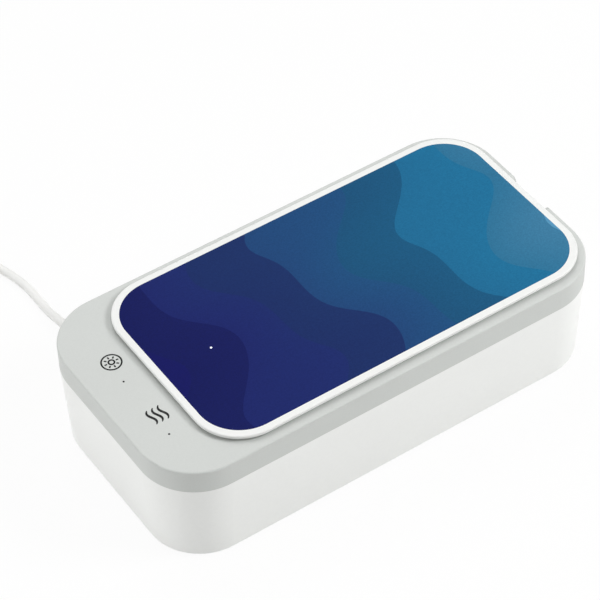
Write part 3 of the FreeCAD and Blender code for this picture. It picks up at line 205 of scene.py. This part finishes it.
def printed_film():
    """Printed polyester film with a fine satin grain: bands of long swells run across it, navy to azure."""
    item, tree, shader, mm = start("printed_film", {"IOR": 1.5, "Specular IOR Level": 0.03})
    axes = add(tree, "ShaderNodeSeparateXYZ", {0: mm})
    along, across = axes.outputs[0], axes.outputs[1]
    total = along
    # Each swell is height * sin(across * 2 pi / length + along / drift + first).
    for height, length, drift, first in ((11.0, 118.0, 34.0, 0.4), (4.5, 57.0, -21.0, 2.1)):
        phase = add(tree, "ShaderNodeMath", {0: across, 1: TURN / length, 2: first}, operation="MULTIPLY_ADD")
        turned = add(tree, "ShaderNodeMath", {0: along, 1: 1 / drift, 2: phase.outputs[0]},
                     operation="MULTIPLY_ADD")
        swell = add(tree, "ShaderNodeMath", {0: turned.outputs[0]}, operation="SINE")
        total = add(tree, "ShaderNodeMath", {0: swell.outputs[0], 1: height, 2: total},
                    operation="MULTIPLY_ADD").outputs[0]
    band_width = 29.0
    count = add(tree, "ShaderNodeMath", {0: total, 1: 1 / band_width}, operation="MULTIPLY")
    step = add(tree, "ShaderNodeMath", {0: count.outputs[0]}, operation="FLOOR")
    # Every other band is printed darker.
    darker = 0.18
    other = add(tree, "ShaderNodeMath", {0: step.outputs[0], 1: 2.0}, operation="FLOORED_MODULO")
    ink_load = add(tree, "ShaderNodeMath", {0: other.outputs[0], 1: -darker, 2: 1.0},
                   operation="MULTIPLY_ADD")
    # Within a band the tone moves on by a part of a step. The rest is the jump to the next band. The colours
    # start at the first step and end at the last.
    blend = 0.42
    first_step, last_step = -3.6, 4.2
    part = add(tree, "ShaderNodeMath", {0: count.outputs[0]}, operation="FRACT")
    blended = add(tree, "ShaderNodeMath", {0: part.outputs[0], 1: blend, 2: step.outputs[0]},
                  operation="MULTIPLY_ADD")
    share = add(tree, "ShaderNodeMapRange",
                {0: blended.outputs[0], 1: first_step, 2: last_step, 3: 0.0, 4: 1.0})
    ramp = add(tree, "ShaderNodeValToRGB", {0: share.outputs[0]})
    stops = ((0.0, "#171a5e"), (0.2, "#1e2767"), (0.4, "#233a70"), (0.6, "#225c86"), (0.8, "#22739c"),
             (1.0, "#5c99be"))
    for place, _ in stops[1:-1]:
        ramp.color_ramp.elements.new(place)
    for element, (place, text) in zip(ramp.color_ramp.elements, stops):
        element.position = place
        element.color = colour(text)
    # The film's grain is about 0.2 mm. It is drawn at 0.7 mm, so that it shows.
    drawn_grain = 0.7
    grain = add(tree, "ShaderNodeTexNoise", {"Vector": mm, "Scale": 1 / drawn_grain, "Detail": 2.0})
    fleck = add(tree, "ShaderNodeMapRange", {0: grain.outputs[0], 1: 0.3, 2: 0.7, 3: 0.9, 4: 1.08})
    depth = add(tree, "ShaderNodeMath", {0: fleck.outputs[0], 1: ink_load.outputs[0]}, operation="MULTIPLY")
    tone = add(tree, "ShaderNodeVectorMath", {0: ramp.outputs[0], 3: depth.outputs[0]}, operation="SCALE")
    gloss = add(tree, "ShaderNodeMapRange", {0: grain.outputs[0], 1: 0.3, 2: 0.7, 3: 0.42, 4: 0.56})
    relief = add(tree, "ShaderNodeBump",
                 {"Height": grain.outputs[0], "Strength": 1.0, "Distance": 0.02 * MM})
    tree.links.new(tone.outputs[0], shader.inputs["Base Color"])
    tree.links.new(gloss.outputs[0], shader.inputs["Roughness"])
    tree.links.new(relief.outputs[0], shader.inputs["Normal"])
    return item


def circuit_board():
    """Glass epoxy under green solder mask: tracks 0.7 mm wide show as paler lines in a brick-like grid."""
    item, tree, shader, mm = start("solder_masked_epoxy", {"IOR": 1.55, "Roughness": 0.32})
    tracks = add(tree, "ShaderNodeTexBrick", {
        "Vector": mm, "Color1": colour("#145a33"), "Color2": colour("#196a3d"), "Mortar": colour("#2c8650"),
        "Scale": 1.0, "Mortar Size": 0.35, "Brick Width": 9.0, "Row Height": 3.2})
    relief = add(tree, "ShaderNodeBump",
                 {"Height": tracks.outputs[1], "Strength": 1.0, "Distance": 0.05 * MM})
    tree.links.new(tracks.outputs[0], shader.inputs["Base Color"])
    tree.links.new(relief.outputs[0], shader.inputs["Normal"])
    return item


# A wave texture of scale 1 repeats every 2 pi / 20.
WAVE_AT_1_MM = TURN / 20


def wound_copper(centre):
    """Enamelled copper wire in a flat spiral: rings 0.9 mm apart round the coil's middle."""
    item, tree, shader, mm = start("enamelled_copper", {"Metallic": 1.0, "Roughness": 0.3})
    ring_pitch = 0.9
    moved = add(tree, "ShaderNodeVectorMath", {0: mm, 1: centre}, operation="SUBTRACT")
    rings = add(tree, "ShaderNodeTexWave",
                {"Vector": moved.outputs[0], "Scale": WAVE_AT_1_MM / ring_pitch, "Distortion": 0.0},
                wave_type="RINGS", rings_direction="Z")
    tone = add(tree, "ShaderNodeMixRGB", {0: rings.outputs[1], 1: colour("#6d3418"), 2: colour("#c87a45")})
    relief = add(tree, "ShaderNodeBump",
                 {"Height": rings.outputs[1], "Strength": 1.0, "Distance": 0.3 * MM})
    tree.links.new(tone.outputs[0], shader.inputs["Base Color"])
    tree.links.new(relief.outputs[0], shader.inputs["Normal"])
    return item


def woven_tape():
    """Nylon hook tape: ribs 1 mm apart across the strap, with short loops that break them up."""
    item, tree, shader, mm = start("woven_nylon_tape", {"Roughness": 0.85, "Sheen Weight": 0.3})
    ribs = add(tree, "ShaderNodeTexWave",
               {"Vector": mm, "Scale": WAVE_AT_1_MM, "Distortion": 2.5, "Detail": 2.0, "Detail Scale": 2.0},
               wave_type="BANDS", bands_direction="X")
    tone = add(tree, "ShaderNodeMixRGB", {0: ribs.outputs[1], 1: colour("#151516"), 2: colour("#3a3a3c")})
    relief = add(tree, "ShaderNodeBump",
                 {"Height": ribs.outputs[1], "Strength": 1.0, "Distance": 0.25 * MM})
    tree.links.new(tone.outputs[0], shader.inputs["Base Color"])
    tree.links.new(relief.outputs[0], shader.inputs["Normal"])
    return item


def lit_lens():
    """A clear acrylic lamp tip, lit from below: nearly white, with a faint bluish mottle."""
    item, tree, shader, mm = start("lit_acrylic", {"IOR": 1.49, "Roughness": 0.15, "Emission Strength": 0.9})
    noise = add(tree, "ShaderNodeTexNoise", {"Vector": mm, "Scale": 2.0})
    tone = add(tree, "ShaderNodeMixRGB", {0: noise.outputs[0], 1: colour("#dfe9ff"), 2: colour("#ffffff")})
    tree.links.new(tone.outputs[0], shader.inputs["Base Color"])
    tree.links.new(tone.outputs[0], shader.inputs["Emission Color"])
    return item


def all_finishes():
    """Each finish by its name: the record's slots, and lid_abs, lid_tray_painted_shade, lit_lens, ink and gold besides."""
    coil_low, coil_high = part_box("charging_coil")
    return {
        # ABS moulded in a satin tool: an even, slightly cool white, a soft sheen and a faint orange peel.
        "white_abs": speckled("white_abs_moulded", {"IOR": 1.53}, "#f8f9f7", "#f4f5f3",
                              grain=1.6, rough=(0.36, 0.46), bump=0.012),
        # The lid's ABS is a shade greyer than the housing's, from the same satin tool.
        "lid_abs": speckled("lid_abs_moulded", {"IOR": 1.53}, "#f0f1ef", "#ecedeb",
                            grain=1.6, rough=(0.36, 0.46), bump=0.012),
        # The lid's inner half: the same ABS from a blasted tool, coloured a shade darker as painted shade, so
        # that it does not wash out under the lamps.
        "lid_tray_painted_shade": speckled("inner_lid_plastic_painted_shade", {"IOR": 1.53}, "#d3d5d2", "#cdcfcc",
                             grain=1.2, rough=(0.48, 0.6), bump=0.015),
        # ABS moulded in a spark-eroded tool: light grey, matt, with a fine grain of 0.3 mm, drawn at 0.8.
        "grey_abs": speckled("grey_abs_moulded", {"IOR": 1.53}, "#d1d4d1", "#cbcecb",
                             grain=0.8, rough=(0.5, 0.62), bump=0.02),
        "printed_sheet": printed_film(),
        # Moulded rubber feet and gasket: pale grey, dull, a little dusty.
        "rubber": speckled("moulded_rubber", {"IOR": 1.52}, "#dcdddb", "#cfd0ce",
                           grain=1.0, rough=(0.7, 0.85), bump=0.05),
        # Silicone seal: milky, soft sheen, takes dust.
        "silicone": speckled("milky_silicone", {"IOR": 1.41}, "#dfe2e2", "#d2d6d6",
                             grain=2.0, rough=(0.4, 0.55), bump=0.02),
        # Deep-drawn stainless steel, brushed lengthways: fine bright lines 0.4 mm apart.
        "stainless": speckled("brushed_stainless", {"Metallic": 1.0}, "#d3d5d6", "#b9bcbe",
                              grain=0.4, rough=(0.2, 0.34), bump=0.004, stretch=(40, 1, 1)),
        # Plain turned steel: pins, screws and magnets.
        "steel": speckled("turned_steel", {"Metallic": 1.0}, "#b8babd", "#9fa2a6",
                          grain=0.6, rough=(0.28, 0.4), bump=0.01),
        "board_green": circuit_board(),
        # Epoxy moulding compound: nearly black and matt.
        "component_black": speckled("epoxy_moulding", {"IOR": 1.55}, "#242426", "#19191b",
                                    grain=0.5, rough=(0.5, 0.65), bump=0.01),
        "copper": wound_copper(tuple((coil_low + coil_high) / 2 / MM)),
        # Sintered ferrite: charcoal grey with a dull grain.
        "ferrite": speckled("sintered_ferrite", {"IOR": 2.0}, "#3a3a3d", "#29292b",
                            grain=0.7, rough=(0.5, 0.65), bump=0.03),
        # Sintered ceramic, of the piezo disc and the small lamps' packages: pale and matt.
        "ceramic": speckled("sintered_ceramic", {"IOR": 1.7}, "#d9d5c6", "#c8c3b2",
                            grain=0.8, rough=(0.45, 0.6), bump=0.02),
        # Fused quartz pane: clear, polished.
        "quartz": speckled("fused_quartz", {"IOR": 1.46, "Transmission Weight": 1.0}, "#fbfcff", "#f3f6fb",
                           grain=8.0, rough=(0.02, 0.06), bump=0.001),
        # Smoked acrylic lamp tips, unlit: near black, their own smoky tint darkened further as painted shade
        # of the pinholes they sit in.
        "light_pipe": speckled("smoked_acrylic_painted_hole_shade", {"IOR": 1.49, "Specular IOR Level": 0.1},
                               "#0d0e0f", "#060607", grain=0.5, rough=(0.3, 0.4), bump=0.002),
        "lit_lens": lit_lens(),
        # Conductive foam: black, open cells of 0.6 mm.
        "foam": speckled("conductive_foam", {"IOR": 1.45}, "#2c2c2d", "#101011",
                         grain=0.6, rough=(0.85, 0.95), bump=0.2),
        # PVC jacket, extruded: white, soft satin, with faint waves; light goes about 1 mm into it.
        "cord_white": speckled("extruded_pvc", {"IOR": 1.53, "Subsurface Weight": 0.6, "Subsurface Scale": MM,
                                                "Subsurface Radius": (1.0, 1.0, 1.0)},
                               "#f0f0ee", "#ebebe9", grain=6.0, rough=(0.42, 0.5), bump=0.006),
        # Nickel plate on pressed steel: bright, with faint press marks.
        "plug_metal": speckled("nickel_plate", {"Metallic": 1.0}, "#cfd0d2", "#bfc1c4",
                               grain=1.2, rough=(0.16, 0.26), bump=0.003),
        "tie_black": woven_tape(),
        # Pad-printed ink: near black, flat, with a slight mottle.
        "ink": speckled("pad_printed_ink", {"IOR": 1.5, "Specular IOR Level": 0.2}, "#191a1a", "#0e0f0f",
                        grain=0.5, rough=(0.5, 0.65), bump=0.004),
        # Gold flash on the plug's contacts.
        "gold": speckled("gold_flash", {"Metallic": 1.0}, "#e2b865", "#cfa24e",
                         grain=0.8, rough=(0.2, 0.3), bump=0.002),
    }


NODE_FINISH = {
    "white_abs": ("base_shell",),
    "lid_abs": ("lid_top",),
    "lid_tray_painted_shade": ("lid_base",),
    "grey_abs": ("deck",),
    "printed_sheet": ("pad_sheet",),
    "rubber": ("feet", "tank_gasket"),
    "silicone": ("lid_seal",),
    "stainless": ("tank",),
    "steel": ("case_screws", "hinge_pin_front", "hinge_pin_back", "board_screws", "control_screws",
              "deck_magnets", "lid_screws", "lid_magnets", "lid_board_screws"),
    "board_green": ("driver_board", "inlet_board", "control_board", "charger_board", "uv_board"),
    "component_black": ("driver_transformer", "driver_capacitors", "lid_sensor"),
    "copper": ("charging_coil",),
    "ferrite": ("ferrite_sheet",),
    "ceramic": ("transducer", "uv_leds"),
    "quartz": ("uv_window",),
    "light_pipe": ("light_pipe_uv", "light_pipe_ultrasonic"),
    "lit_lens": ("lid_indicator",),
    "foam": ("touch_pad_uv", "touch_pad_ultrasonic"),
    "cord_white": ("inlet_plug", "end_plug", "cord", "cord_coil", "cord_tail"),
    "plug_metal": ("usb_socket", "inlet_plug_tongue", "end_plug_shell"),
    "tie_black": ("cord_tie",),
}


# Meshes

def grid_faces(rows, columns, first=0, wrap_rows=False):
    """The quads of a grid of points, numbered row by row from first.

    The last column joins the first one, and so does the last row where the rows wrap.
    """
    r, c = np.meshgrid(np.arange(rows if wrap_rows else rows - 1), np.arange(columns), indexing="ij")
    below, beside = (r + 1) % rows, (c + 1) % columns
    quads = np.stack([r * columns + c, r * columns + beside,
                      below * columns + beside, below * columns + c], -1)
    return (quads.reshape(-1, 4) + first).tolist()


def outward_mesh(name, places, faces, finish):
    """An object with one finish, made of places in metres and faces, which are turned to look outwards."""
    mesh = bpy.data.meshes.new(name)
    mesh.from_pydata(places.tolist(), [], faces)
    shell = bmesh.new()
    shell.from_mesh(mesh)
    bmesh.ops.recalc_face_normals(shell, faces=shell.faces)
    shell.to_mesh(mesh)
    shell.free()
    mesh.materials.append(finishes[finish])
    item = bpy.data.objects.new(name, mesh)
    scene.collection.objects.link(item)
    return item


def piece(name, grids, finish, smooth=True):
    """Puts grids of points, in millimetres, into one mesh that rides on the housing.

    Each grid is its points and whether its rows wrap; its columns do. A grid with open rows gets an end face
    on its first and its last row.
    """
    places, faces, first = [], [], 0
    for points, wrap_rows in grids:
        rows, columns = points.shape[:2]
        places.append(points.reshape(-1, 3) * MM)
        faces += grid_faces(rows, columns, first, wrap_rows)
        if not wrap_rows:
            faces.append(list(range(first, first + columns)))
            faces.append(list(range(first + (rows - 1) * columns, first + rows * columns)))
        first += rows * columns
    item = outward_mesh(name, np.concatenate(places), faces, finish)
    item.data.polygons.foreach_set("use_smooth", [smooth] * len(item.data.polygons))
    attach(item, "housing")
    return item


# Cord, plugs and tie

CORD_DIAMETER = 4.2
CORD_EXIT = (-79.9, 85.443, 6.6)
CORD_ROUTE = [(-79.9, 91.5, 6.6), (-80.0, 100.0, 4.3), (-80.0, 108.5, 2.1), (-79.8, 117.5, 2.1),
              (-80.0, 126.5, 2.1), (-81.1, 134.5, 2.1), (-83.2, 142.0, 2.1), (-85.6, 149.5, 2.1),
              (-87.5, 157.0, 2.7), (-88.3, 165.0, 3.2), (-88.3, 173.0, 3.2)]
COIL_CENTRE = (-120.3, 177.2, 3.2)
COIL_RADIUS = 32.0
COIL_PITCH = 4.7
TURNS_IN = 3.75
TURNS_OUT = 3.25
TAIL_START = (-149.95, 173.0, 7.9)
TAIL_ROUTE = [(-149.95, 165.0, 7.9), (-149.35, 156.5, 6.84), (-148.35, 148.0, 4.83),
              (-147.95, 139.5, 4.0), (-147.95, 131.5, 4.0)]


def coil_places():
    """The coil: turns spiral in by one pitch each, climb one layer in half a turn, and spiral out again."""
    points_per_turn = 24
    turn = np.arange(int((TURNS_IN + 0.5 + TURNS_OUT) * points_per_turn) + 1) / points_per_turn
    climb = turn - TURNS_IN
    inner = COIL_RADIUS - COIL_PITCH * TURNS_IN
    inward = COIL_RADIUS - COIL_PITCH * turn
    crossing = inner - COIL_PITCH / TURN * np.sin(TURN * climb)
    outward = inner + COIL_PITCH * (climb - 0.5)
    radius = np.where(climb < 0, inward, np.where(climb < 0.5, crossing, outward))
    rise = COIL_PITCH * (2 * climb - np.sin(2 * TURN * climb) / TURN)
    height = np.where(climb < 0, 0, np.where(climb < 0.5, rise, COIL_PITCH))
    angle = TURN * turn
    return np.stack([radius * np.cos(angle), radius * np.sin(angle), height], -1) + np.array(COIL_CENTRE)


def power_cord():
    """One smooth line led by the route's points, the coil's turns and the tail, with a round section."""
    places = np.concatenate([[CORD_EXIT], CORD_ROUTE, coil_places(), [TAIL_START], TAIL_ROUTE]) * MM
    curve = bpy.data.curves.new("power_cord", "CURVE")
    curve.dimensions = "3D"
    curve.resolution_u = 4
    curve.bevel_depth = CORD_DIAMETER / 2 * MM
    curve.bevel_resolution = 5
    curve.use_fill_caps = True
    spline = curve.splines.new("NURBS")
    spline.points.add(len(places) - 1)
    spline.points.foreach_set("co", np.column_stack([places, np.ones(len(places))]).ravel())
    spline.order_u = 3
    spline.use_endpoint_u = True
    curve.materials.append(finishes["cord_white"])
    item = bpy.data.objects.new("power_cord", curve)
    scene.collection.objects.link(item)
    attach(item, "housing")
    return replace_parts(item, "cord", "cord_coil", "cord_tail")


def smooth_step(t):
    """0 up to t = 0, 1 from t = 1 on, and a smooth rise in between."""
    t = np.clip(t, 0, 1)
    return t * t * (3 - 2 * t)


BOOT_LENGTH = 10.0
END_GRIP_LENGTH = 24.0


def moulded_plug(name, tip, width, height, length, power, replaced):
    """A moulded plug that runs from the cord's end towards -Y: ringed boot, shoulder and ridged grip.

    Its section is |x / half width|^power + |z / half height|^power = 1. The boot is round, so its power is 2,
    and its radius grows evenly less four grooves. The grip has shallow ridges across its two flat faces, and
    its nose is rounded.
    """
    boot_radius, boot_growth = 2.35, 0.055
    groove_start, groove_end, groove_pitch, groove_depth = 1.2, 9.2, 2.0, 0.38
    shoulder_start, shoulder_length = BOOT_LENGTH - 0.6, 4.2
    ridge_reach, ridge_pitch, ridge_depth, ridge_half_width = 5.25, 1.5, 0.28, 0.36 * width
    nose_cut = 0.7
    whole = BOOT_LENGTH + length
    grip_start, nose_start = BOOT_LENGTH + 4, whole - 1
    along = np.concatenate([np.linspace(0, grip_start, 90), np.linspace(grip_start + 0.2, nose_start, 90),
                            nose_start + np.sin(np.linspace(0.1, 1, 8) * math.pi / 2)])
    around = np.linspace(0, TURN, 56, endpoint=False)
    groove = np.where((along > groove_start) & (along < groove_end),
                      np.sin(math.pi * (along - groove_start) / groove_pitch) ** 4, 0)
    boot = boot_radius + boot_growth * along - groove_depth * groove
    grip = smooth_step((along - shoulder_start) / shoulder_length)
    nose = np.clip(along - nose_start, 0, 1)
    edge = nose_cut * (1 - np.sqrt(1 - nose ** 2))
    half_width = boot * (1 - grip) + width / 2 * grip - edge
    half_height = boot * (1 - grip) + height / 2 * grip - edge
    shape = 2 / (2 + (power - 2) * grip)
    cosine, sine = np.cos(around), np.sin(around)
    x = half_width[:, None] * np.sign(cosine) * np.abs(cosine) ** shape[:, None]
    z = half_height[:, None] * np.sign(sine) * np.abs(sine) ** shape[:, None]
    middle = (grip_start + nose_start) / 2
    ridged = np.where(np.abs(along - middle) < ridge_reach,
                      np.sin(math.pi * (along - middle + ridge_reach) / ridge_pitch) ** 2, 0)
    flat = np.clip(1 - np.abs(x / ridge_half_width) ** 8, 0, 1) * (np.abs(sine) > 0.5)
    z = z - np.sign(z) * ridge_depth * ridged[:, None] * flat
    y = np.broadcast_to((tip[1] - along)[:, None], x.shape)
    points = np.stack([tip[0] + x, y, tip[2] + z], -1)
    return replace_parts(piece(name, [(points, False)], "cord_white"), replaced)


def plug_shell(tip):
    """The flat plug's metal: a folded sheet round a rectangle, with two windows on each face, and the tongue.

    The sheet is a grid of its outline by its length, less the windows' cells, and gets its thickness inwards.
    The tongue is a bar with four contacts under it.
    """
    half_width, half_height, length, corner, sheet = 6.0, 2.25, 12.0, 0.5, 0.3
    windows = ((-3.4, -1.2), (1.2, 3.4))
    window_start, window_end = 5.8, 8.0
    side = [-half_width + corner] + [x for pair in windows for x in pair] + [half_width - corner]
    arc = np.linspace(0, math.pi / 2, 5)[1:-1]
    flat = np.array([(x, -half_height) for x in side])
    right = np.stack([half_width - corner + corner * np.sin(arc),
                      -half_height + corner - corner * np.cos(arc)], -1)
    rise = np.array([(half_width, -half_height + corner), (half_width, half_height - corner)])
    half = np.concatenate([flat, right, rise, right[::-1] * (1, -1)])
    outline = np.concatenate([half, -half])
    along = np.array([0.0, 3.6, window_start, window_end, length])
    x, y = np.meshgrid(outline[:, 0], along)
    z = np.broadcast_to(outline[:, 1], x.shape)
    points = np.stack([tip[0] + x, tip[1] - length + y, tip[2] + z], -1)
    columns = len(outline)
    row_of_windows = 2
    starts = [i + shift for shift in (0, len(half)) for i in (1, 3)]
    open_cells = {row_of_windows * columns + c for c in starts}
    faces = [f for i, f in enumerate(grid_faces(len(along), columns)) if i not in open_cells]
    item = outward_mesh("plug_shell", points.reshape(-1, 3) * MM, faces, "plug_metal")
    thick = item.modifiers.new("sheet", "SOLIDIFY")
    thick.thickness = sheet * MM
    thick.offset = -1
    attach(item, "housing")
    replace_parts(item, "end_plug_shell")
    back, front = tip[1] - 0.2, tip[1] - length + 0.8
    bars = [((-5.4, 5.4), (front, back), (-0.1, 1.85), "component_black", "plug_tongue")]
    contact_half_width, contact_run, contact_height = 0.5, (front + 0.6, front + 7.0), (-0.22, -0.06)
    for i, x in enumerate((-3.5, -1.2, 1.2, 3.5)):
        bars.append(((x - contact_half_width, x + contact_half_width), contact_run, contact_height,
                     "gold", f"plug_contact_{i}"))
    extra = []
    for (x0, x1), (y0, y1), (z0, z1), finish, name in bars:
        extra.append(piece(name, [(bar(tip[0], x0, x1, y0, y1, tip[2] + z0, tip[2] + z1), False)], finish,
                           smooth=False))
    return [item] + extra


def bar(middle, x0, x1, y0, y1, z0, z1):
    """A straight bar along Y with chamfered edges: its section's eight corners at four stations."""
    chamfer = 0.12 * min(x1 - x0, z1 - z0)
    section = np.array([(x0 + chamfer, z0), (x1 - chamfer, z0), (x1, z0 + chamfer), (x1, z1 - chamfer),
                        (x1 - chamfer, z1), (x0 + chamfer, z1), (x0, z1 - chamfer), (x0, z0 + chamfer)])
    centre = section.mean(0)
    inner = centre + (section - centre) * (1 - 2 * chamfer / np.array([x1 - x0, z1 - z0]))
    rows = [(inner, y0), (section, y0 + chamfer), (section, y1 - chamfer), (inner, y1)]
    return np.stack([np.column_stack([middle + s[:, 0], np.full(len(s), y), s[:, 1]]) for s, y in rows])


def tie_strap():
    """A flat strap round both layers of the coil: a rounded rectangle carries a section 8 mm by 0.8 mm.

    The rectangle is the corner centre plus a circle, so its points crowd at the corners. The strap's free end
    lies on its top, and is a second, open strip.
    """
    width, thick, corner = 8.0, 0.8, 2.6
    # The rectangle runs through the middle of the strap's thickness.
    low, high, bottom, top = 145.825, 166.693, 0.4, 10.8
    flap_start, flap_length, flap_gap, flap_lift = 5.0, 12.0, 0.02, 0.35
    loop_points, flap_points, section_points = 64, 14, 12
    around = np.linspace(0, TURN, section_points, endpoint=False)
    section_x = width / 2 * np.sign(np.cos(around)) * np.abs(np.cos(around)) ** 0.3
    section_n = thick / 2 * np.sign(np.sin(around)) * np.abs(np.sin(around)) ** 0.5
    angle = np.linspace(0, TURN, loop_points, endpoint=False) + TURN / (2 * loop_points)
    half_y, half_z = (high - low) / 2 - corner, (top - bottom) / 2 - corner
    out_y, out_z = np.cos(angle), np.sin(angle)
    loop_y = (low + high) / 2 + half_y * np.sign(out_y) + corner * out_y
    loop_z = (top + bottom) / 2 + half_z * np.sign(out_z) + corner * out_z
    loop = np.stack([np.broadcast_to(COIL_CENTRE[0] + section_x, (loop_points, section_points)),
                     loop_y[:, None] + section_n * out_y[:, None],
                     loop_z[:, None] + section_n * out_z[:, None]], -1)
    # The free end is rounded over its last quarter, and lifts a little.
    reach = np.linspace(0, 1, flap_points)
    flap_y = low + flap_start + flap_length * reach
    rounding = np.sqrt(np.clip(1 - np.clip((reach - 0.75) / 0.25, 0, 0.98) ** 2, 0, 1))
    flap_z = top + thick + flap_gap + flap_lift * reach ** 3
    flap = np.stack([COIL_CENTRE[0] + section_x * rounding[:, None],
                     np.broadcast_to(flap_y[:, None], (flap_points, section_points)),
                     flap_z[:, None] + section_n], -1)
    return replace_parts(piece("tie_strap", [(loop, True), (flap, False)], "tie_black"), "cord_tie")


# Printed marks

INK_LOW, INK_HIGH = DECK_TOP - 0.01, DECK_TOP + 0.03


def ink_stroke(path, half_width):
    """A printed line: a flat bar of ink along a path on the deck, of the half width given at each place."""
    ahead = np.gradient(path, axis=0)
    ahead /= np.linalg.norm(ahead, axis=1, keepdims=True)
    beside = np.column_stack([-ahead[:, 1], ahead[:, 0]]) * half_width[:, None]
    left, right = path + beside, path - beside
    corners = [(left, INK_LOW), (right, INK_LOW), (right, INK_HIGH), (left, INK_HIGH)]
    return np.stack([np.column_stack([edge, np.full(len(path), level)]) for edge, level in corners], 1)


def ink_ring(centre, inner, outer):
    """A printed ring: the same bar of ink carried round a circle."""
    angle = np.linspace(0, TURN, 96, endpoint=False)
    unit = np.column_stack([np.cos(angle), np.sin(angle)])
    corners = [(inner, INK_LOW), (outer, INK_LOW), (outer, INK_HIGH), (inner, INK_HIGH)]
    return np.stack([np.column_stack([centre + radius * unit, np.full(len(unit), level)])
                     for radius, level in corners], 1)


def lamp_mark():
    """The light key's mark: a sun of a small ring and eight short rays in a circle."""
    centre = np.array([-95.42, 19.78])
    circle, small_ring = (4.0, 4.74), (0.9, 1.68)
    ray_count, ray_points, ray_start, ray_end, ray_half_width = 8, 16, 2.1, 3.4, 0.36
    grids = [(ink_ring(centre, *circle), True), (ink_ring(centre, *small_ring), True)]
    reach = np.linspace(ray_start, ray_end, ray_points)
    rounding = np.sqrt(np.clip(1 - np.linspace(-0.995, 0.995, ray_points) ** 8, 0, 1))
    for angle in np.arange(ray_count) * TURN / ray_count:
        unit = np.array([math.cos(angle), math.sin(angle)])
        grids.append((ink_stroke(centre + reach[:, None] * unit, ray_half_width * rounding), False))
    piece("mark_uv", grids, "ink", smooth=False)


def wave_mark():
    """The ultrasonic key's mark: three waves, each of which swings out from its straight run.

    The offset is 2.234 t - 2.62 t^3 + 0.136 t^5, where t goes from -1 to 1 along the run.
    """
    middle_y, half_run, end_half_width, swell = -16.55, 4.35, 0.2, 0.38
    t = np.linspace(-1, 1, 48)
    offset = 2.234 * t - 2.62 * t ** 3 + 0.136 * t ** 5
    half_width = end_half_width + swell * (1 - np.abs(t) ** 3)
    grids = []
    for middle_x in (-92.55, -95.33, -98.1):
        path = np.column_stack([middle_x + offset, middle_y - half_run * t])
        grids.append((ink_stroke(path, half_width), False))
    piece("mark_ultrasonic", grids, "ink", smooth=False)


photo_camera()
studio()
finishes = all_finishes()
for finish, names in NODE_FINISH.items():
    for name in names:
        nodes[name].data.materials.clear()
        nodes[name].data.materials.append(finishes[finish])

cord = power_cord()
near_plug = moulded_plug("inlet_grip", CORD_EXIT, width=11.5, height=6.0, length=20.0, power=3.6,
                         replaced="inlet_plug")
far_plug = moulded_plug("end_grip", TAIL_ROUTE[-1], width=16.0, height=8.0, length=END_GRIP_LENGTH, power=4.6,
                        replaced="end_plug")
tail_x, tail_y, tail_z = TAIL_ROUTE[-1]
metal = plug_shell((tail_x, tail_y - BOOT_LENGTH - END_GRIP_LENGTH, tail_z))
strap = tie_strap()
lamp_mark()
wave_mark()
